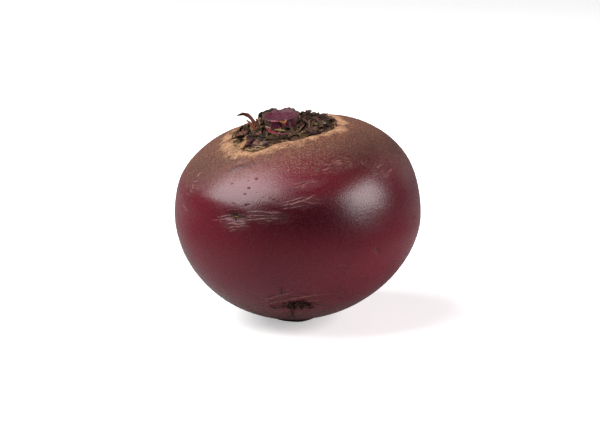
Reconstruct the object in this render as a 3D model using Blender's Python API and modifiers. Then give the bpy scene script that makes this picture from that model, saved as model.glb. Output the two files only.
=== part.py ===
"""A trimmed red beetroot, standing on the cut end of its taproot.

It has three solids: the swollen root, the stump of the cut leaf stalks in the middle of the crown, and
the ring of dried leaf bases round that stump. Metres, +Z up. The origin is the centre of the taproot's
flat cut face, and the crown leans a little to -X and -Y.

Shapes are worked out in millimetres on a straight body, with Z = 0 at its widest circle, and settled()
then leans each point and puts it in its place in metres.
"""

import math
import random

import bmesh
import bpy
from mathutils import Matrix, Vector

MM = 0.001

# Driving sizes of the root, in millimetres
EQUATOR_RADIUS = 40.0
HEIGHT_ABOVE = 30.0  # from the widest circle to the crown
DEPTH_BELOW = 34.6  # from the widest circle to the underside
FULLNESS_ABOVE = 2.43  # exponent of the outline: 2 is an ellipse, more is squarer
FULLNESS_BELOW = 1.92
LEAN_LEFT = math.radians(7.5)
LEAN_FRONT = math.radians(6.5)
CROWN_SHIFT = 1.0  # how far the upper body stands to +X of the taproot

# The taproot's cut end
STUB_RADIUS = 6.4
STUB_NECK = 7.2
STUB_DROP = 0.85  # below the underside
STUB_EDGE = 0.15  # worn corner

EQUATOR_HEIGHT = DEPTH_BELOW + STUB_DROP

# Low lobes round the body: how many, how high, and towards which azimuth
LOBES = (
    (2, 0.25, math.radians(45)),
    (3, 0.30, math.radians(18)),
    (5, 0.15, math.radians(13)),
)

# The crown: a shallow seat under the leaf bases, and a low corky rim just outside them
SEAT_DEPTH = 1.3
SEAT_EDGE = 1.0  # how far outside the scales' reach it starts
SEAT_SLOPE = 6.5  # how far its side runs inward
RIM_HEIGHT = 0.45
RIM_WIDTH = 1.1
RIM_GAP = 2.0

# A broad hollow behind the crown, seen from above
HOLLOW_MIDDLE = (0.5, 21.0)
HOLLOW_HALF_WIDTH = 13.5
HOLLOW_HALF_LENGTH = 9.0
HOLLOW_DEPTH = 1.4

# How far the leaf bases reach from the crown's middle: (azimuth in degrees, radius)
COLLAR_REACH = (
    (-180, 17.6),
    (-150, 19.0),
    (-128, 20.2),
    (-92, 14.2),
    (-60, 14.0),
    (-8, 17.0),
    (50, 15.2),
    (100, 14.6),
    (145, 16.0),
)

# Scars where side roots left, and one small pit. Polar angle and azimuth of the middle in degrees,
# half its width and half its height, and its depth
SCARS = (
    (76, -118, 3.4, 2.2, 0.7),
    (131, -89, 5.4, 2.4, 0.9),
    (98, -51, 1.3, 1.1, 0.5),
    (71, 66, 3.6, 2.3, 0.7),
    (124, 84, 4.6, 2.2, 0.8),
)

# Rootlets still in the scars: polar angle and azimuth of the foot in degrees, then the tip's throw
# along the surface (to the right, down) and out of it
ROOTLETS = (
    (76, -119.5, -1.3, 1.0, 1.3),
    (75, -116.5, 1.2, 0.8, 1.2),
    (130, -90.5, 0.8, 2.6, 1.2),
    (131, -85, 2.0, 1.2, 1.4),
    (131, -95, -2.2, 0.9, 1.2),
    (71, 67, 1.6, 1.2, 1.3),
    (124, 82, -1.4, 1.8, 1.3),
)
ROOTLET_THICKNESS = 0.9
ROOTLET_TIP = 0.65

# The stump of the cut leaf stalks, seen from above round its own middle
STUMP_MIDDLE = Vector((-0.9, 0.4))
STUMP_BASE_RADIUS = 6.5
STUMP_TOP_RADIUS = 5.7
STUMP_HEIGHT = 4.7
STUMP_DISH = 0.5  # how far the cut face sinks in its middle
STUMP_KNOB = 0.8  # how far the crusty rim rises at the back
NOTCH_AZIMUTH = math.radians(-80)
NOTCH_WIDTH = math.radians(16)
NOTCH_DEPTH = 1.0
NOTCH_DROP = 0.6  # how far the rim dips there

# The ring of leaf bases
CLEARANCE = 0.4  # between it and the solids that it grows round
SCALE_CLEARANCE = 0.5  # a scale's own, so that its foot ends inside the core
CORE_SHY = 2.4  # how far inside the scales' reach the core ends
CORE_TOP = (2.6, 1.9, 1.0)  # its height at the inner edge, in the middle and at the outer edge
LEAST_THICKNESS = 0.7
SCALE_FOOT = 0.9  # height of a scale's foot, inside the core

ROOT_SIDES = 56
CROWN_STEP = 3  # degrees of polar angle between the rings of the root's crown
BODY_STEP = 6  # and between those of its side
CROWN_RINGS = 13
BODY_RINGS = 21
STUMP_SIDES = 28
CORE_SIDES = 40
SHARP_ANGLE = math.radians(35)  # edges sharper than this stay sharp in the shading
RING_SEED = 5


def smooth(x):
    """0 below 0, 1 above 1, and an even slope between them."""
    x = min(max(x, 0.0), 1.0)
    return x * x * (3.0 - 2.0 * x)


def bump(x):
    return math.exp(-x * x)


def angle_between(a, b):
    """The signed angle from b to a, from -pi to pi."""
    return (a - b + math.pi) % (2.0 * math.pi) - math.pi


def settled(point):
    """A point of the straight body, in its place in metres."""
    share = smooth((point.z / HEIGHT_ABOVE - 0.05) / 0.85)
    lean = Matrix.Rotation(LEAN_FRONT * share, 3, "X") @ Matrix.Rotation(-LEAN_LEFT * share, 3, "Y")
    shift = CROWN_SHIFT * (1.0 - smooth(-point.z / DEPTH_BELOW))
    return (lean @ point + Vector((shift, 0.0, EQUATOR_HEIGHT))) * MM


def outline(polar):
    """Radius and height of the plain turned body at a polar angle."""
    above = smooth((math.cos(polar) + 0.25) / 0.7)
    power = 2.0 / (FULLNESS_BELOW + (FULLNESS_ABOVE - FULLNESS_BELOW) * above)
    height = abs(math.cos(polar)) ** power
    radius = EQUATOR_RADIUS * math.sin(polar) ** power
    return radius, height * (HEIGHT_ABOVE if polar < math.pi / 2.0 else -DEPTH_BELOW)


def collar_reach(azimuth):
    """How far the leaf bases reach towards an azimuth, eased between the named points."""
    degrees = (math.degrees(azimuth) + 180.0) % 360.0 - 180.0
    points = COLLAR_REACH + ((180, COLLAR_REACH[0][1]),)
    for (start, near), (end, far) in zip(points, points[1:]):
        if degrees <= end:
            return near + (far - near) * smooth((degrees - start) / (end - start))


def crown_relief(radius, azimuth):
    reach = collar_reach(azimuth)
    seat = -SEAT_DEPTH * smooth((reach + SEAT_EDGE - radius) / SEAT_SLOPE)
    rim = RIM_HEIGHT * bump((radius - reach - RIM_GAP) / RIM_WIDTH)
    across = (radius * math.cos(azimuth) - HOLLOW_MIDDLE[0]) / HOLLOW_HALF_WIDTH
    back = (radius * math.sin(azimuth) - HOLLOW_MIDDLE[1]) / HOLLOW_HALF_LENGTH
    return seat + rim - HOLLOW_DEPTH * bump(across * across) * bump(back)


def scar_offset(polar, azimuth, scar):
    """Distance from a scar's middle as shares of its half width and half height."""
    scar_polar, scar_azimuth, half_width, half_height, _ = scar
    across = outline(polar)[0] * angle_between(azimuth, math.radians(scar_azimuth))
    down = EQUATOR_RADIUS * (polar - math.radians(scar_polar))
    return math.hypot(across / half_width, down / half_height)


def skin_relief(polar, azimuth):
    """How far the skin stands out of the plain turned body."""
    around = sum(height * math.cos(count * (azimuth - towards)) for count, height, towards in LOBES)
    height = around * math.sin(polar) ** 2
    for scar in SCARS:
        height -= scar[4] * bump(scar_offset(polar, azimuth, scar))
    if polar < math.pi / 2.0:
        height += crown_relief(outline(polar)[0], azimuth)
    return height


def skin_point(polar, azimuth, proud=0.0):
    """A point on the root's skin, or this far proud of it."""
    radius, height = outline(polar)
    step = 0.01
    before, after = outline(max(polar - step, 0.0)), outline(min(polar + step, math.pi))
    facing = Vector((before[1] - after[1], after[0] - before[0])).normalized()
    out = proud + skin_relief(polar, azimuth)
    radius += facing.x * out
    height += facing.y * out
    return Vector((radius * math.cos(azimuth), radius * math.sin(azimuth), height))


def crown_height(x, y):
    """Height of the skin of the crown over a place seen from above."""
    radius, azimuth = math.hypot(x, y), math.atan2(y, x)
    dome = 1.0 - (min(radius, EQUATOR_RADIUS) / EQUATOR_RADIUS) ** FULLNESS_ABOVE
    return HEIGHT_ABOVE * dome ** (1.0 / FULLNESS_ABOVE) + crown_relief(radius, azimuth)


def on_crown(radius, azimuth, rise):
    """The point this far above the skin of the crown."""
    x, y = radius * math.cos(azimuth), radius * math.sin(azimuth)
    return Vector((x, y, crown_height(x, y) + rise))


def material(name, color, roughness):
    made = bpy.data.materials.new(name)
    made.use_nodes = True
    shader = made.node_tree.nodes["Principled BSDF"]
    shader.inputs["Base Color"].default_value = (*color, 1.0)
    shader.inputs["Roughness"].default_value = roughness
    shader.inputs["Metallic"].default_value = 0.0
    return made


def added(name, mesh):
    """A new object that holds this mesh."""
    piece = bpy.data.objects.new(name, mesh)
    bpy.context.scene.collection.objects.link(piece)
    return piece


def mesh_from(name, shape):
    mesh = bpy.data.meshes.new(name)
    shape.to_mesh(mesh)
    shape.free()
    return mesh


def turned(name, profile, sides, closed=False):
    """The solid that a profile of (radius, height) points, top to bottom, makes round the Z axis."""
    edges = [(i, i + 1) for i in range(len(profile) - 1)]
    if closed:
        edges.append((len(profile) - 1, 0))
    line = bpy.data.meshes.new(name)
    line.from_pydata([(radius, 0.0, height) for radius, height in profile], edges, [])
    piece = added(name, line)
    screw = piece.modifiers.new("turn", "SCREW")
    screw.steps = screw.render_steps = sides
    screw.use_merge_vertices = True
    screw.merge_threshold = 0.0001
    applied(piece)
    return piece


def applied(piece):
    """Makes the piece's modifiers part of its mesh."""
    graph = bpy.context.evaluated_depsgraph_get()
    mesh = bpy.data.meshes.new_from_object(piece.evaluated_get(graph))
    piece.modifiers.clear()
    piece.data = mesh


def reshaped(piece, rule):
    """Moves each vertex to where the rule puts it, with faces pointing out."""
    shape = bmesh.new()
    shape.from_mesh(piece.data)
    for vertex in shape.verts:
        vertex.co = rule(vertex.co.copy())
    bmesh.ops.recalc_face_normals(shape, faces=shape.faces)
    shape.to_mesh(piece.data)
    shape.free()


def largest_shell(piece):
    """Drops scraps and fills sealed hollows: only the shell with the most faces stays."""
    shape = bmesh.new()
    shape.from_mesh(piece.data)
    waiting = set(shape.faces)
    shells = []
    while waiting:
        shell, edge_of_it = set(), [waiting.pop()]
        while edge_of_it:
            face = edge_of_it.pop()
            shell.add(face)
            for edge in face.edges:
                for neighbour in edge.link_faces:
                    if neighbour in waiting:
                        waiting.remove(neighbour)
                        edge_of_it.append(neighbour)
        shells.append(shell)
    shells.sort(key=len)
    for shell in shells[:-1]:
        bmesh.ops.delete(shape, geom=list(shell), context="FACES")
    shape.to_mesh(piece.data)
    shape.free()


def fused(body, pieces):
    """Joins the pieces to the body by one Boolean union on their collection."""
    gathered = bpy.data.collections.new(body.name + "_pieces")
    bpy.context.scene.collection.children.link(gathered)
    for piece in pieces:
        gathered.objects.link(piece)
    union = body.modifiers.new("union", "BOOLEAN")
    union.operation = "UNION"
    union.operand_type = "COLLECTION"
    union.collection = gathered
    union.solver = "MANIFOLD"
    applied(body)
    for piece in pieces:
        bpy.data.objects.remove(piece)
    bpy.data.collections.remove(gathered)
    largest_shell(body)


def finished(piece, collection, finish):
    """Puts a finished solid in the beet's collection, smooth but for its sharp edges."""
    piece.data.materials.clear()
    piece.data.materials.append(finish)
    piece.data.shade_smooth()
    piece.data.set_sharp_from_angle(angle=SHARP_ANGLE)
    bpy.context.scene.collection.objects.unlink(piece)
    collection.objects.link(piece)


def root_profile():
    """Outline of the root from the crown's middle down to the middle of the taproot's cut face."""
    crown = [CROWN_STEP * i for i in range(CROWN_RINGS)]
    body = [crown[-1] + BODY_STEP * (i + 1) for i in range(BODY_RINGS)]
    profile = [outline(math.radians(polar)) for polar in crown + body]
    neck = math.pi - math.asin((STUB_NECK / EQUATOR_RADIUS) ** (FULLNESS_BELOW / 2.0))
    bottom = -DEPTH_BELOW - STUB_DROP
    profile.append(outline(neck))
    profile += [
        (STUB_RADIUS + STUB_EDGE, -DEPTH_BELOW + STUB_EDGE),
        (STUB_RADIUS, bottom + STUB_EDGE),
        (STUB_RADIUS - STUB_EDGE, bottom),
        (0.0, bottom),
    ]
    return profile


def finer_at_scars(piece):
    """Splits the faces of the turned body round each scar, so that its dent has a shape."""
    shape = bmesh.new()
    shape.from_mesh(piece.data)
    near = set()
    for edge in shape.edges:
        middle = (edge.verts[0].co + edge.verts[1].co) / 2.0
        polar, azimuth = polar_of(middle), math.atan2(middle.y, middle.x)
        if any(scar_offset(polar, azimuth, scar) < 1.7 for scar in SCARS):
            near.add(edge)
    bmesh.ops.subdivide_edges(shape, edges=list(near), cuts=2, use_grid_fill=True)
    bmesh.ops.triangulate(shape, faces=[face for face in shape.faces if len(face.verts) > 4])
    shape.to_mesh(piece.data)
    shape.free()


def polar_of(point):
    """The polar angle at which the plain turned body passes through a point on it."""
    if point.z < -DEPTH_BELOW:
        return math.pi
    low, high = 0.0, math.pi
    for _ in range(40):
        middle = (low + high) / 2.0
        low, high = (middle, high) if outline(middle)[1] > point.z else (low, middle)
    return (low + high) / 2.0


def skin_place(point):
    """Where a point of the plain turned body goes on the finished root."""
    azimuth = math.atan2(point.y, point.x)
    if point.z < -DEPTH_BELOW + 2.0 * STUB_EDGE and math.hypot(point.x, point.y) < STUB_NECK:
        uneven = 1.0 + 0.05 * math.cos(2.0 * azimuth + 0.6) + 0.02 * math.cos(5.0 * azimuth)
        return settled(Vector((point.x * uneven, point.y * uneven, point.z)))
    return settled(skin_point(polar_of(point), azimuth))


def rootlet(name, polar, azimuth, right, down, out):
    """A short tapered root hair that bends from its foot under the skin to its tip."""
    polar, azimuth = math.radians(polar), math.radians(azimuth)
    radius = outline(polar)[0]
    route = []
    for share in (-0.6, 0.0, 0.5, 1.0):
        along = max(share, 0.0) ** 1.5
        bent = (polar + along * down / EQUATOR_RADIUS, azimuth + along * right / radius)
        route.append(settled(skin_point(*bent, proud=share * out)))
    curve = bpy.data.curves.new(name, "CURVE")
    curve.dimensions = "3D"
    curve.bevel_depth = ROOTLET_THICKNESS / 2.0 * MM
    curve.bevel_resolution = 1
    curve.use_fill_caps = True
    spline = curve.splines.new("POLY")
    spline.points.add(len(route) - 1)
    for i, place in enumerate(route):
        spline.points[i].co = (*place, 1.0)
        spline.points[i].radius = 1.0 if i < 2 else 1.0 - (i - 1) / 2.0 * (1.0 - ROOTLET_TIP / ROOTLET_THICKNESS)
    piece = added(name, curve)
    graph = bpy.context.evaluated_depsgraph_get()
    shape = bmesh.new()
    shape.from_mesh(bpy.data.meshes.new_from_object(piece.evaluated_get(graph)))
    bmesh.ops.remove_doubles(shape, verts=shape.verts, dist=0.01 * MM)
    bmesh.ops.recalc_face_normals(shape, faces=shape.faces)
    bpy.data.objects.remove(piece)
    return added(name, mesh_from(name, shape))


def root():
    piece = turned("root", root_profile(), ROOT_SIDES)
    finer_at_scars(piece)
    reshaped(piece, skin_place)
    fused(piece, [rootlet(f"rootlet_{i}", *figures) for i, figures in enumerate(ROOTLETS)])
    return piece


def stump_radius(azimuth):
    """How far the stump's wavy side stands from its middle at the base, as a share of its radius."""
    return 1.0 + 0.05 * math.cos(2.0 * azimuth + 0.9) + 0.035 * math.cos(5.0 * azimuth + 2.0)


def stump_place(point):
    """Where a point of the plain turned stump goes: wavy side, notch in front, knobs at the back."""
    azimuth, radius = math.atan2(point.y, point.x), math.hypot(point.x, point.y)
    share = point.z / STUMP_HEIGHT
    notch = bump(angle_between(azimuth, NOTCH_AZIMUTH) / NOTCH_WIDTH) * smooth(share * 1.6 - 0.4)
    at_rim = smooth(radius / STUMP_TOP_RADIUS * 4.0 - 2.6)
    radius *= stump_radius(azimuth)
    radius -= NOTCH_DEPTH * notch * at_rim
    behind = smooth(0.5 + 0.9 * math.sin(azimuth - 0.25)) * (0.7 + 0.3 * math.cos(7.0 * azimuth))
    rise = point.z + STUMP_KNOB * behind * at_rim * smooth(share * 2.0 - 1.0)
    rise -= NOTCH_DROP * notch * at_rim * smooth(share * 2.0 - 1.0)
    x = STUMP_MIDDLE.x + radius * math.cos(azimuth)
    y = STUMP_MIDDLE.y + radius * math.sin(azimuth)
    return settled(Vector((x, y, crown_height(x, y) + rise)))


def crown_stump():
    rim = STUMP_HEIGHT
    profile = [
        (0.0, rim - STUMP_DISH),
        (STUMP_TOP_RADIUS * 0.45, rim - STUMP_DISH * 0.8),
        (STUMP_TOP_RADIUS * 0.8, rim - STUMP_DISH * 0.3),
        (STUMP_TOP_RADIUS, rim - 0.1),
        (STUMP_TOP_RADIUS + 0.1, rim - 0.8),
        ((STUMP_BASE_RADIUS + STUMP_TOP_RADIUS) / 2.0, rim * 0.5),
        (STUMP_BASE_RADIUS, CLEARANCE + 0.2),
        (STUMP_BASE_RADIUS - 0.3, CLEARANCE),
        (STUMP_BASE_RADIUS * 0.5, CLEARANCE),
        (0.0, CLEARANCE),
    ]
    piece = turned("crown_stump", profile, STUMP_SIDES)
    reshaped(piece, stump_place)
    return piece


def beside_stump(azimuth, clearance):
    """The place this far from the stump's side, seen from above."""
    radius = STUMP_BASE_RADIUS * stump_radius(azimuth) + clearance
    return STUMP_MIDDLE + radius * Vector((math.cos(azimuth), math.sin(azimuth)))


def collar_place(share, azimuth, shy=0.0):
    """Radius and azimuth of a place on the ring: share 0 is beside the stump, 1 the scales' reach."""
    edge = Vector((math.cos(azimuth), math.sin(azimuth))) * (collar_reach(azimuth) - shy)
    place = beside_stump(azimuth, CLEARANCE).lerp(edge, share)
    return place.length, math.atan2(place.y, place.x)


def clear_of_neighbours(point, clearance):
    """The point, moved out of the stump and up off the crown where it comes too near."""
    from_stump = Vector((point.x, point.y)) - STUMP_MIDDLE
    edge = beside_stump(math.atan2(from_stump.y, from_stump.x), clearance)
    if from_stump.length < (edge - STUMP_MIDDLE).length:
        point = Vector((edge.x, edge.y, point.z))
    floor = crown_height(point.x, point.y) + clearance
    return Vector((point.x, point.y, max(point.z, floor)))


def core_place(point):
    """Where a point of the plain ring goes: its radius runs from 1 at the inner edge to 2 at the outer."""
    azimuth, share = math.atan2(point.y, point.x), math.hypot(point.x, point.y) - 1.0
    place = on_crown(*collar_place(share, azimuth, CORE_SHY), point.z)
    return settled(clear_of_neighbours(place, CLEARANCE))


def core():
    """The low ring that the scales are rooted in and stand out of."""
    inner, middle, outer = CORE_TOP
    profile = [
        (1.0, inner),
        (1.5, middle),
        (2.0, outer),
        (2.0, CLEARANCE),
        (1.5, CLEARANCE),
        (1.0, CLEARANCE),
    ]
    piece = turned("leaf_bases", profile, CORE_SIDES, closed=True)
    reshaped(piece, core_place)
    return piece


def scale(name, route, half_widths, thickness=LEAST_THICKNESS, twist=0.0):
    """One scale: a flat diamond section carried along a route of (radius, degrees, rise) points."""
    middles = [on_crown(radius, math.radians(degrees), rise) for radius, degrees, rise in route]
    shape = bmesh.new()
    bmesh.ops.create_circle(shape, cap_ends=True, segments=4, radius=1.0)
    end = list(shape.faces)[0]
    for i, (middle, half_width) in enumerate(zip(middles, half_widths)):
        if i:
            grown = bmesh.ops.extrude_face_region(shape, geom=[end])["geom"]
            if i > 1:
                bmesh.ops.delete(shape, geom=[end], context="FACES_ONLY")
            end = next(item for item in grown if isinstance(item, bmesh.types.BMFace))
        before, after = middles[max(i - 1, 0)], middles[min(i + 1, len(middles) - 1)]
        along = (after - before).normalized()
        outward = Vector((middle.x, middle.y, 0.0)).normalized()
        across = Vector((-outward.y, outward.x, 0.0))
        across -= along * across.dot(along)
        if across.length < 0.5:
            across = outward - along * outward.dot(along)
        across.normalize()
        across.rotate(Matrix.Rotation(twist, 3, along))
        over = along.cross(across)
        corners = (across * half_width, over * thickness / 2.0, -across * half_width, -over * thickness / 2.0)
        for vertex, corner in zip(end.verts, corners):
            vertex.co = settled(clear_of_neighbours(middle + corner, SCALE_CLEARANCE))
    bmesh.ops.recalc_face_normals(shape, faces=shape.faces)
    return added(name, mesh_from(name, shape))


def named_scales():
    """The scales that stand out in front: claws at the left, folded strips, and the fan at the right."""
    long_claw = [(8.6, -168, 1.2), (10.0, 169, 3.3), (11.8, 158, 4.6), (14.2, 155, 5.3), (16.2, 158, 5.0)]
    short_claw = [(9.3, -164, 1.2), (10.8, -180, 2.7), (12.8, 163, 3.8)]
    crimson_strip = [(8.2, -145, 2.0), (8.6, -126, 2.9), (10.0, -108, 2.6), (11.0, -92, 2.2), (11.8, -78, 1.2)]
    light_strip = [(8.3, -34, 2.1), (8.6, -44, 3.0), (9.4, -58, 2.6), (10.6, -70, 1.4)]
    left_flake = [(12.0, -172, 1.2), (15.0, -168, 1.9), (18.4, -164, 1.5)]
    far_flake = [(10.5, 176, 1.2), (13.0, 166, 2.7), (15.4, 158, 2.7)]
    oval_scale = [(14.4, -139, 1.1), (16.6, -138, 1.9), (18.6, -137, 1.8), (20.2, -136, 1.0)]
    purple_scale = [(11.5, -137, 1.4), (14.0, -135, 2.6), (16.6, -132, 2.1), (18.6, -130, 1.1)]
    pink_scale = [(12.0, -122, 1.4), (15.0, -122, 2.5), (18.4, -121, 1.5)]
    round_brown = [(9.8, -44, 1.4), (11.4, -46, 2.9), (12.8, -48, 2.4), (14.0, -49, 1.1)]
    olive_fold = [(9.4, -36, 1.4), (11.2, -32, 3.6), (12.4, -28, 2.9)]
    green_fold = [(10.0, -18, 1.4), (12.0, -20, 3.4), (13.6, -21, 2.6)]
    dark_end = [(11.5, -16, 1.2), (14.0, -18, 2.4), (16.8, -17, 1.6)]
    near_knob = [(9.2, 36, 1.2), (9.4, 40, 2.8), (9.8, 42, 3.3)]
    far_knob = [(11.4, 5, 1.2), (12.4, 5, 2.7), (13.0, 4, 3.1)]
    return [
        scale("long_claw", long_claw, (1.5, 1.3, 1.0, 0.8, 0.35), 0.8),
        scale("short_claw", short_claw, (1.3, 1.0, 0.4), 0.8),
        scale("crimson_strip", crimson_strip, (0.9, 1.0, 1.0, 0.9, 0.5), 0.8),
        scale("light_strip", light_strip, (0.9, 0.9, 0.8, 0.5), 0.8),
        scale("left_flake", left_flake, (1.8, 1.6, 0.4)),
        scale("far_flake", far_flake, (1.6, 1.4, 0.4)),
        scale("oval_scale", oval_scale, (0.9, 1.5, 1.4, 0.5), 0.9),
        scale("purple_scale", purple_scale, (1.6, 1.9, 1.5, 0.5), 1.0),
        scale("pink_scale", pink_scale, (1.5, 1.9, 0.6), 0.9),
        scale("round_brown", round_brown, (1.3, 1.9, 1.8, 0.8), 1.1),
        scale("olive_fold", olive_fold, (1.2, 1.3, 0.5), 0.9),
        scale("green_fold", green_fold, (1.2, 1.3, 0.5), 0.9),
        scale("dark_end", dark_end, (1.6, 1.5, 0.4)),
        scale("near_knob", near_knob, (1.6, 1.5, 0.6), 1.4),
        scale("far_knob", far_knob, (1.7, 1.5, 0.6), 1.4),
    ]


def ring_of_scales(draw, name, count, foot, tip, rise, half_width, swing):
    """Scales round the stump, each from its foot to its tip, with a drawn unevenness.

    The foot and the tip are shares of the way from the stump to the scales' reach, rise is the tip's
    height, and swing is how far the tip may turn round the crown, in degrees.
    """
    made = []
    for i in range(count):
        azimuth = math.radians(360.0 * (i + draw.uniform(-0.4, 0.4)) / count)
        turn = math.radians(draw.uniform(-swing, swing))
        start, end = foot + draw.uniform(-0.05, 0.05), draw.uniform(*tip)
        top, lift = draw.uniform(*rise), draw.uniform(0.5, 0.9)
        width = half_width * draw.uniform(0.7, 1.25)
        route = []
        for share, height in ((0.0, 0.0), (0.55, lift), (1.0, 1.0)):
            radius, towards = collar_place(start + (end - start) * share, azimuth + turn * share)
            route.append((radius, math.degrees(towards), SCALE_FOOT + (top - SCALE_FOOT) * height))
        twist = math.radians(draw.uniform(-25.0, 25.0))
        made.append(scale(f"{name}_{i}", route, (width, width * 0.85, width * 0.3), twist=twist))
    return made


def leaf_bases():
    draw = random.Random(RING_SEED)
    scales = named_scales()
    scales += ring_of_scales(draw, "inner", 22, 0.10, (0.05, 0.25), (2.8, 4.3), 1.3, 12)
    scales += ring_of_scales(draw, "middle", 26, 0.22, (0.50, 0.82), (1.9, 3.2), 1.3, 28)
    scales += ring_of_scales(draw, "outer", 34, 0.45, (0.84, 1.0), (0.9, 1.7), 1.5, 16)
    piece = core()
    fused(piece, scales)
    return piece


def build():
    for left_over in list(bpy.data.objects):
        bpy.data.objects.remove(left_over)
    beet = bpy.data.collections.new("beet")
    bpy.context.scene.collection.children.link(beet)
    finished(root(), beet, material("beet_skin", (0.11, 0.022, 0.026), 0.42))
    finished(crown_stump(), beet, material("cut_stalk", (0.24, 0.07, 0.10), 0.65))
    finished(leaf_bases(), beet, material("dried_leaf_base", (0.09, 0.045, 0.022), 0.8))


build()
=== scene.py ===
"""The look of the beet: its skin, cut stalks, dried leaf bases and root hairs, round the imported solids.

Shapes are worked out as the solids are, in millimetres on a straight body whose widest circle is at Z = 0,
and settled() then leans each point and puts it in its place in metres.
"""

import math
import random
from functools import partial

import bmesh
import bpy
import numpy as np
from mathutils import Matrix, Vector


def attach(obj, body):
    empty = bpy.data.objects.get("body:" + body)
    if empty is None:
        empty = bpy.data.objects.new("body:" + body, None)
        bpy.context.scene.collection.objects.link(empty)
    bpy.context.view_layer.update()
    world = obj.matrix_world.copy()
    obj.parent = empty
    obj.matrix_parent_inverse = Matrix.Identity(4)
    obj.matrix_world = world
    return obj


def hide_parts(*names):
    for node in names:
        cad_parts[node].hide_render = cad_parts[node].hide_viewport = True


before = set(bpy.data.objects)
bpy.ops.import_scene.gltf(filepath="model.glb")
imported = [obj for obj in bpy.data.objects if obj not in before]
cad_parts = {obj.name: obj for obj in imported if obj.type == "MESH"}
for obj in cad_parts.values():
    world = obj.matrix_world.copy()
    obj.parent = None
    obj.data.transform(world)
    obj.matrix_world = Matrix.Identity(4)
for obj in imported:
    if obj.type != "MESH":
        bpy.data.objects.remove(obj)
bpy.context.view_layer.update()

MM = 0.001
TURN = 2.0 * math.pi

# The body's figures, as in the solids, in millimetres. LOBES: count, height and where the first one is.
# COLLAR_REACH: azimuth in degrees, and how far out the leaf bases come there. SCARS: polar angle and
# azimuth in degrees, half the width and half the height, and depth.
EQUATOR_RADIUS = 40.0
HEIGHT_ABOVE = 30.0
DEPTH_BELOW = 34.6
FULLNESS_ABOVE = 2.43
FULLNESS_BELOW = 1.92
LEAN_LEFT = math.radians(7.5)
LEAN_FRONT = math.radians(6.5)
CROWN_SHIFT = 1.0
STUB_RADIUS = 6.4
STUB_NECK = 7.2
STUB_DROP = 0.85
STUB_EDGE = 0.15
EQUATOR_HEIGHT = DEPTH_BELOW + STUB_DROP
LOBES = ((2, 0.25, math.radians(45)), (3, 0.30, math.radians(18)), (5, 0.15, math.radians(13)))
SEAT_DEPTH = 1.3
SEAT_EDGE = 1.0
SEAT_SLOPE = 6.5
RIM_HEIGHT = 0.45
RIM_WIDTH = 1.1
RIM_GAP = 2.0
HOLLOW_MIDDLE = (0.5, 21.0)
HOLLOW_HALF_WIDTH = 13.5
HOLLOW_HALF_LENGTH = 9.0
HOLLOW_DEPTH = 1.4
COLLAR_REACH = (
    (-180, 17.6), (-150, 19.0), (-128, 20.2), (-92, 14.2), (-60, 14.0), (-8, 17.0), (50, 15.2), (100, 14.6),
    (145, 16.0), (180, 17.6),
)
SCARS = (
    (76, -118, 3.4, 2.2, 0.7), (131, -89, 5.4, 2.4, 0.9), (98, -51, 1.3, 1.1, 0.5), (71, 66, 3.6, 2.3, 0.7),
    (124, 84, 4.6, 2.2, 0.8),
)
STUMP_MIDDLE = (-0.9, 0.4)
STUMP_BASE_RADIUS = 6.5
STUMP_TOP_RADIUS = 5.7
STUMP_HEIGHT = 4.7
STUMP_DISH = 0.5
STUMP_KNOB = 0.8
NOTCH_AZIMUTH = math.radians(-80)
NOTCH_WIDTH = math.radians(16)
NOTCH_DEPTH = 1.0
NOTCH_DROP = 0.6
CLEARANCE = 0.4

# Fineness of the skin's mesh, how far round each crease, speck and scar it is split finer, and fineness of
# the stump and of the crust under the scales
SKIN_SIDES = 300
SKIN_RINGS = 150
MARK_MARGIN = 1.3
SPECK_MARGIN = 0.5
SCAR_MARGIN = 1.5
MARK_CUTS = 3
STUMP_SIDES = 144
BED_SIDES = 180
BED_RINGS = 22

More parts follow.
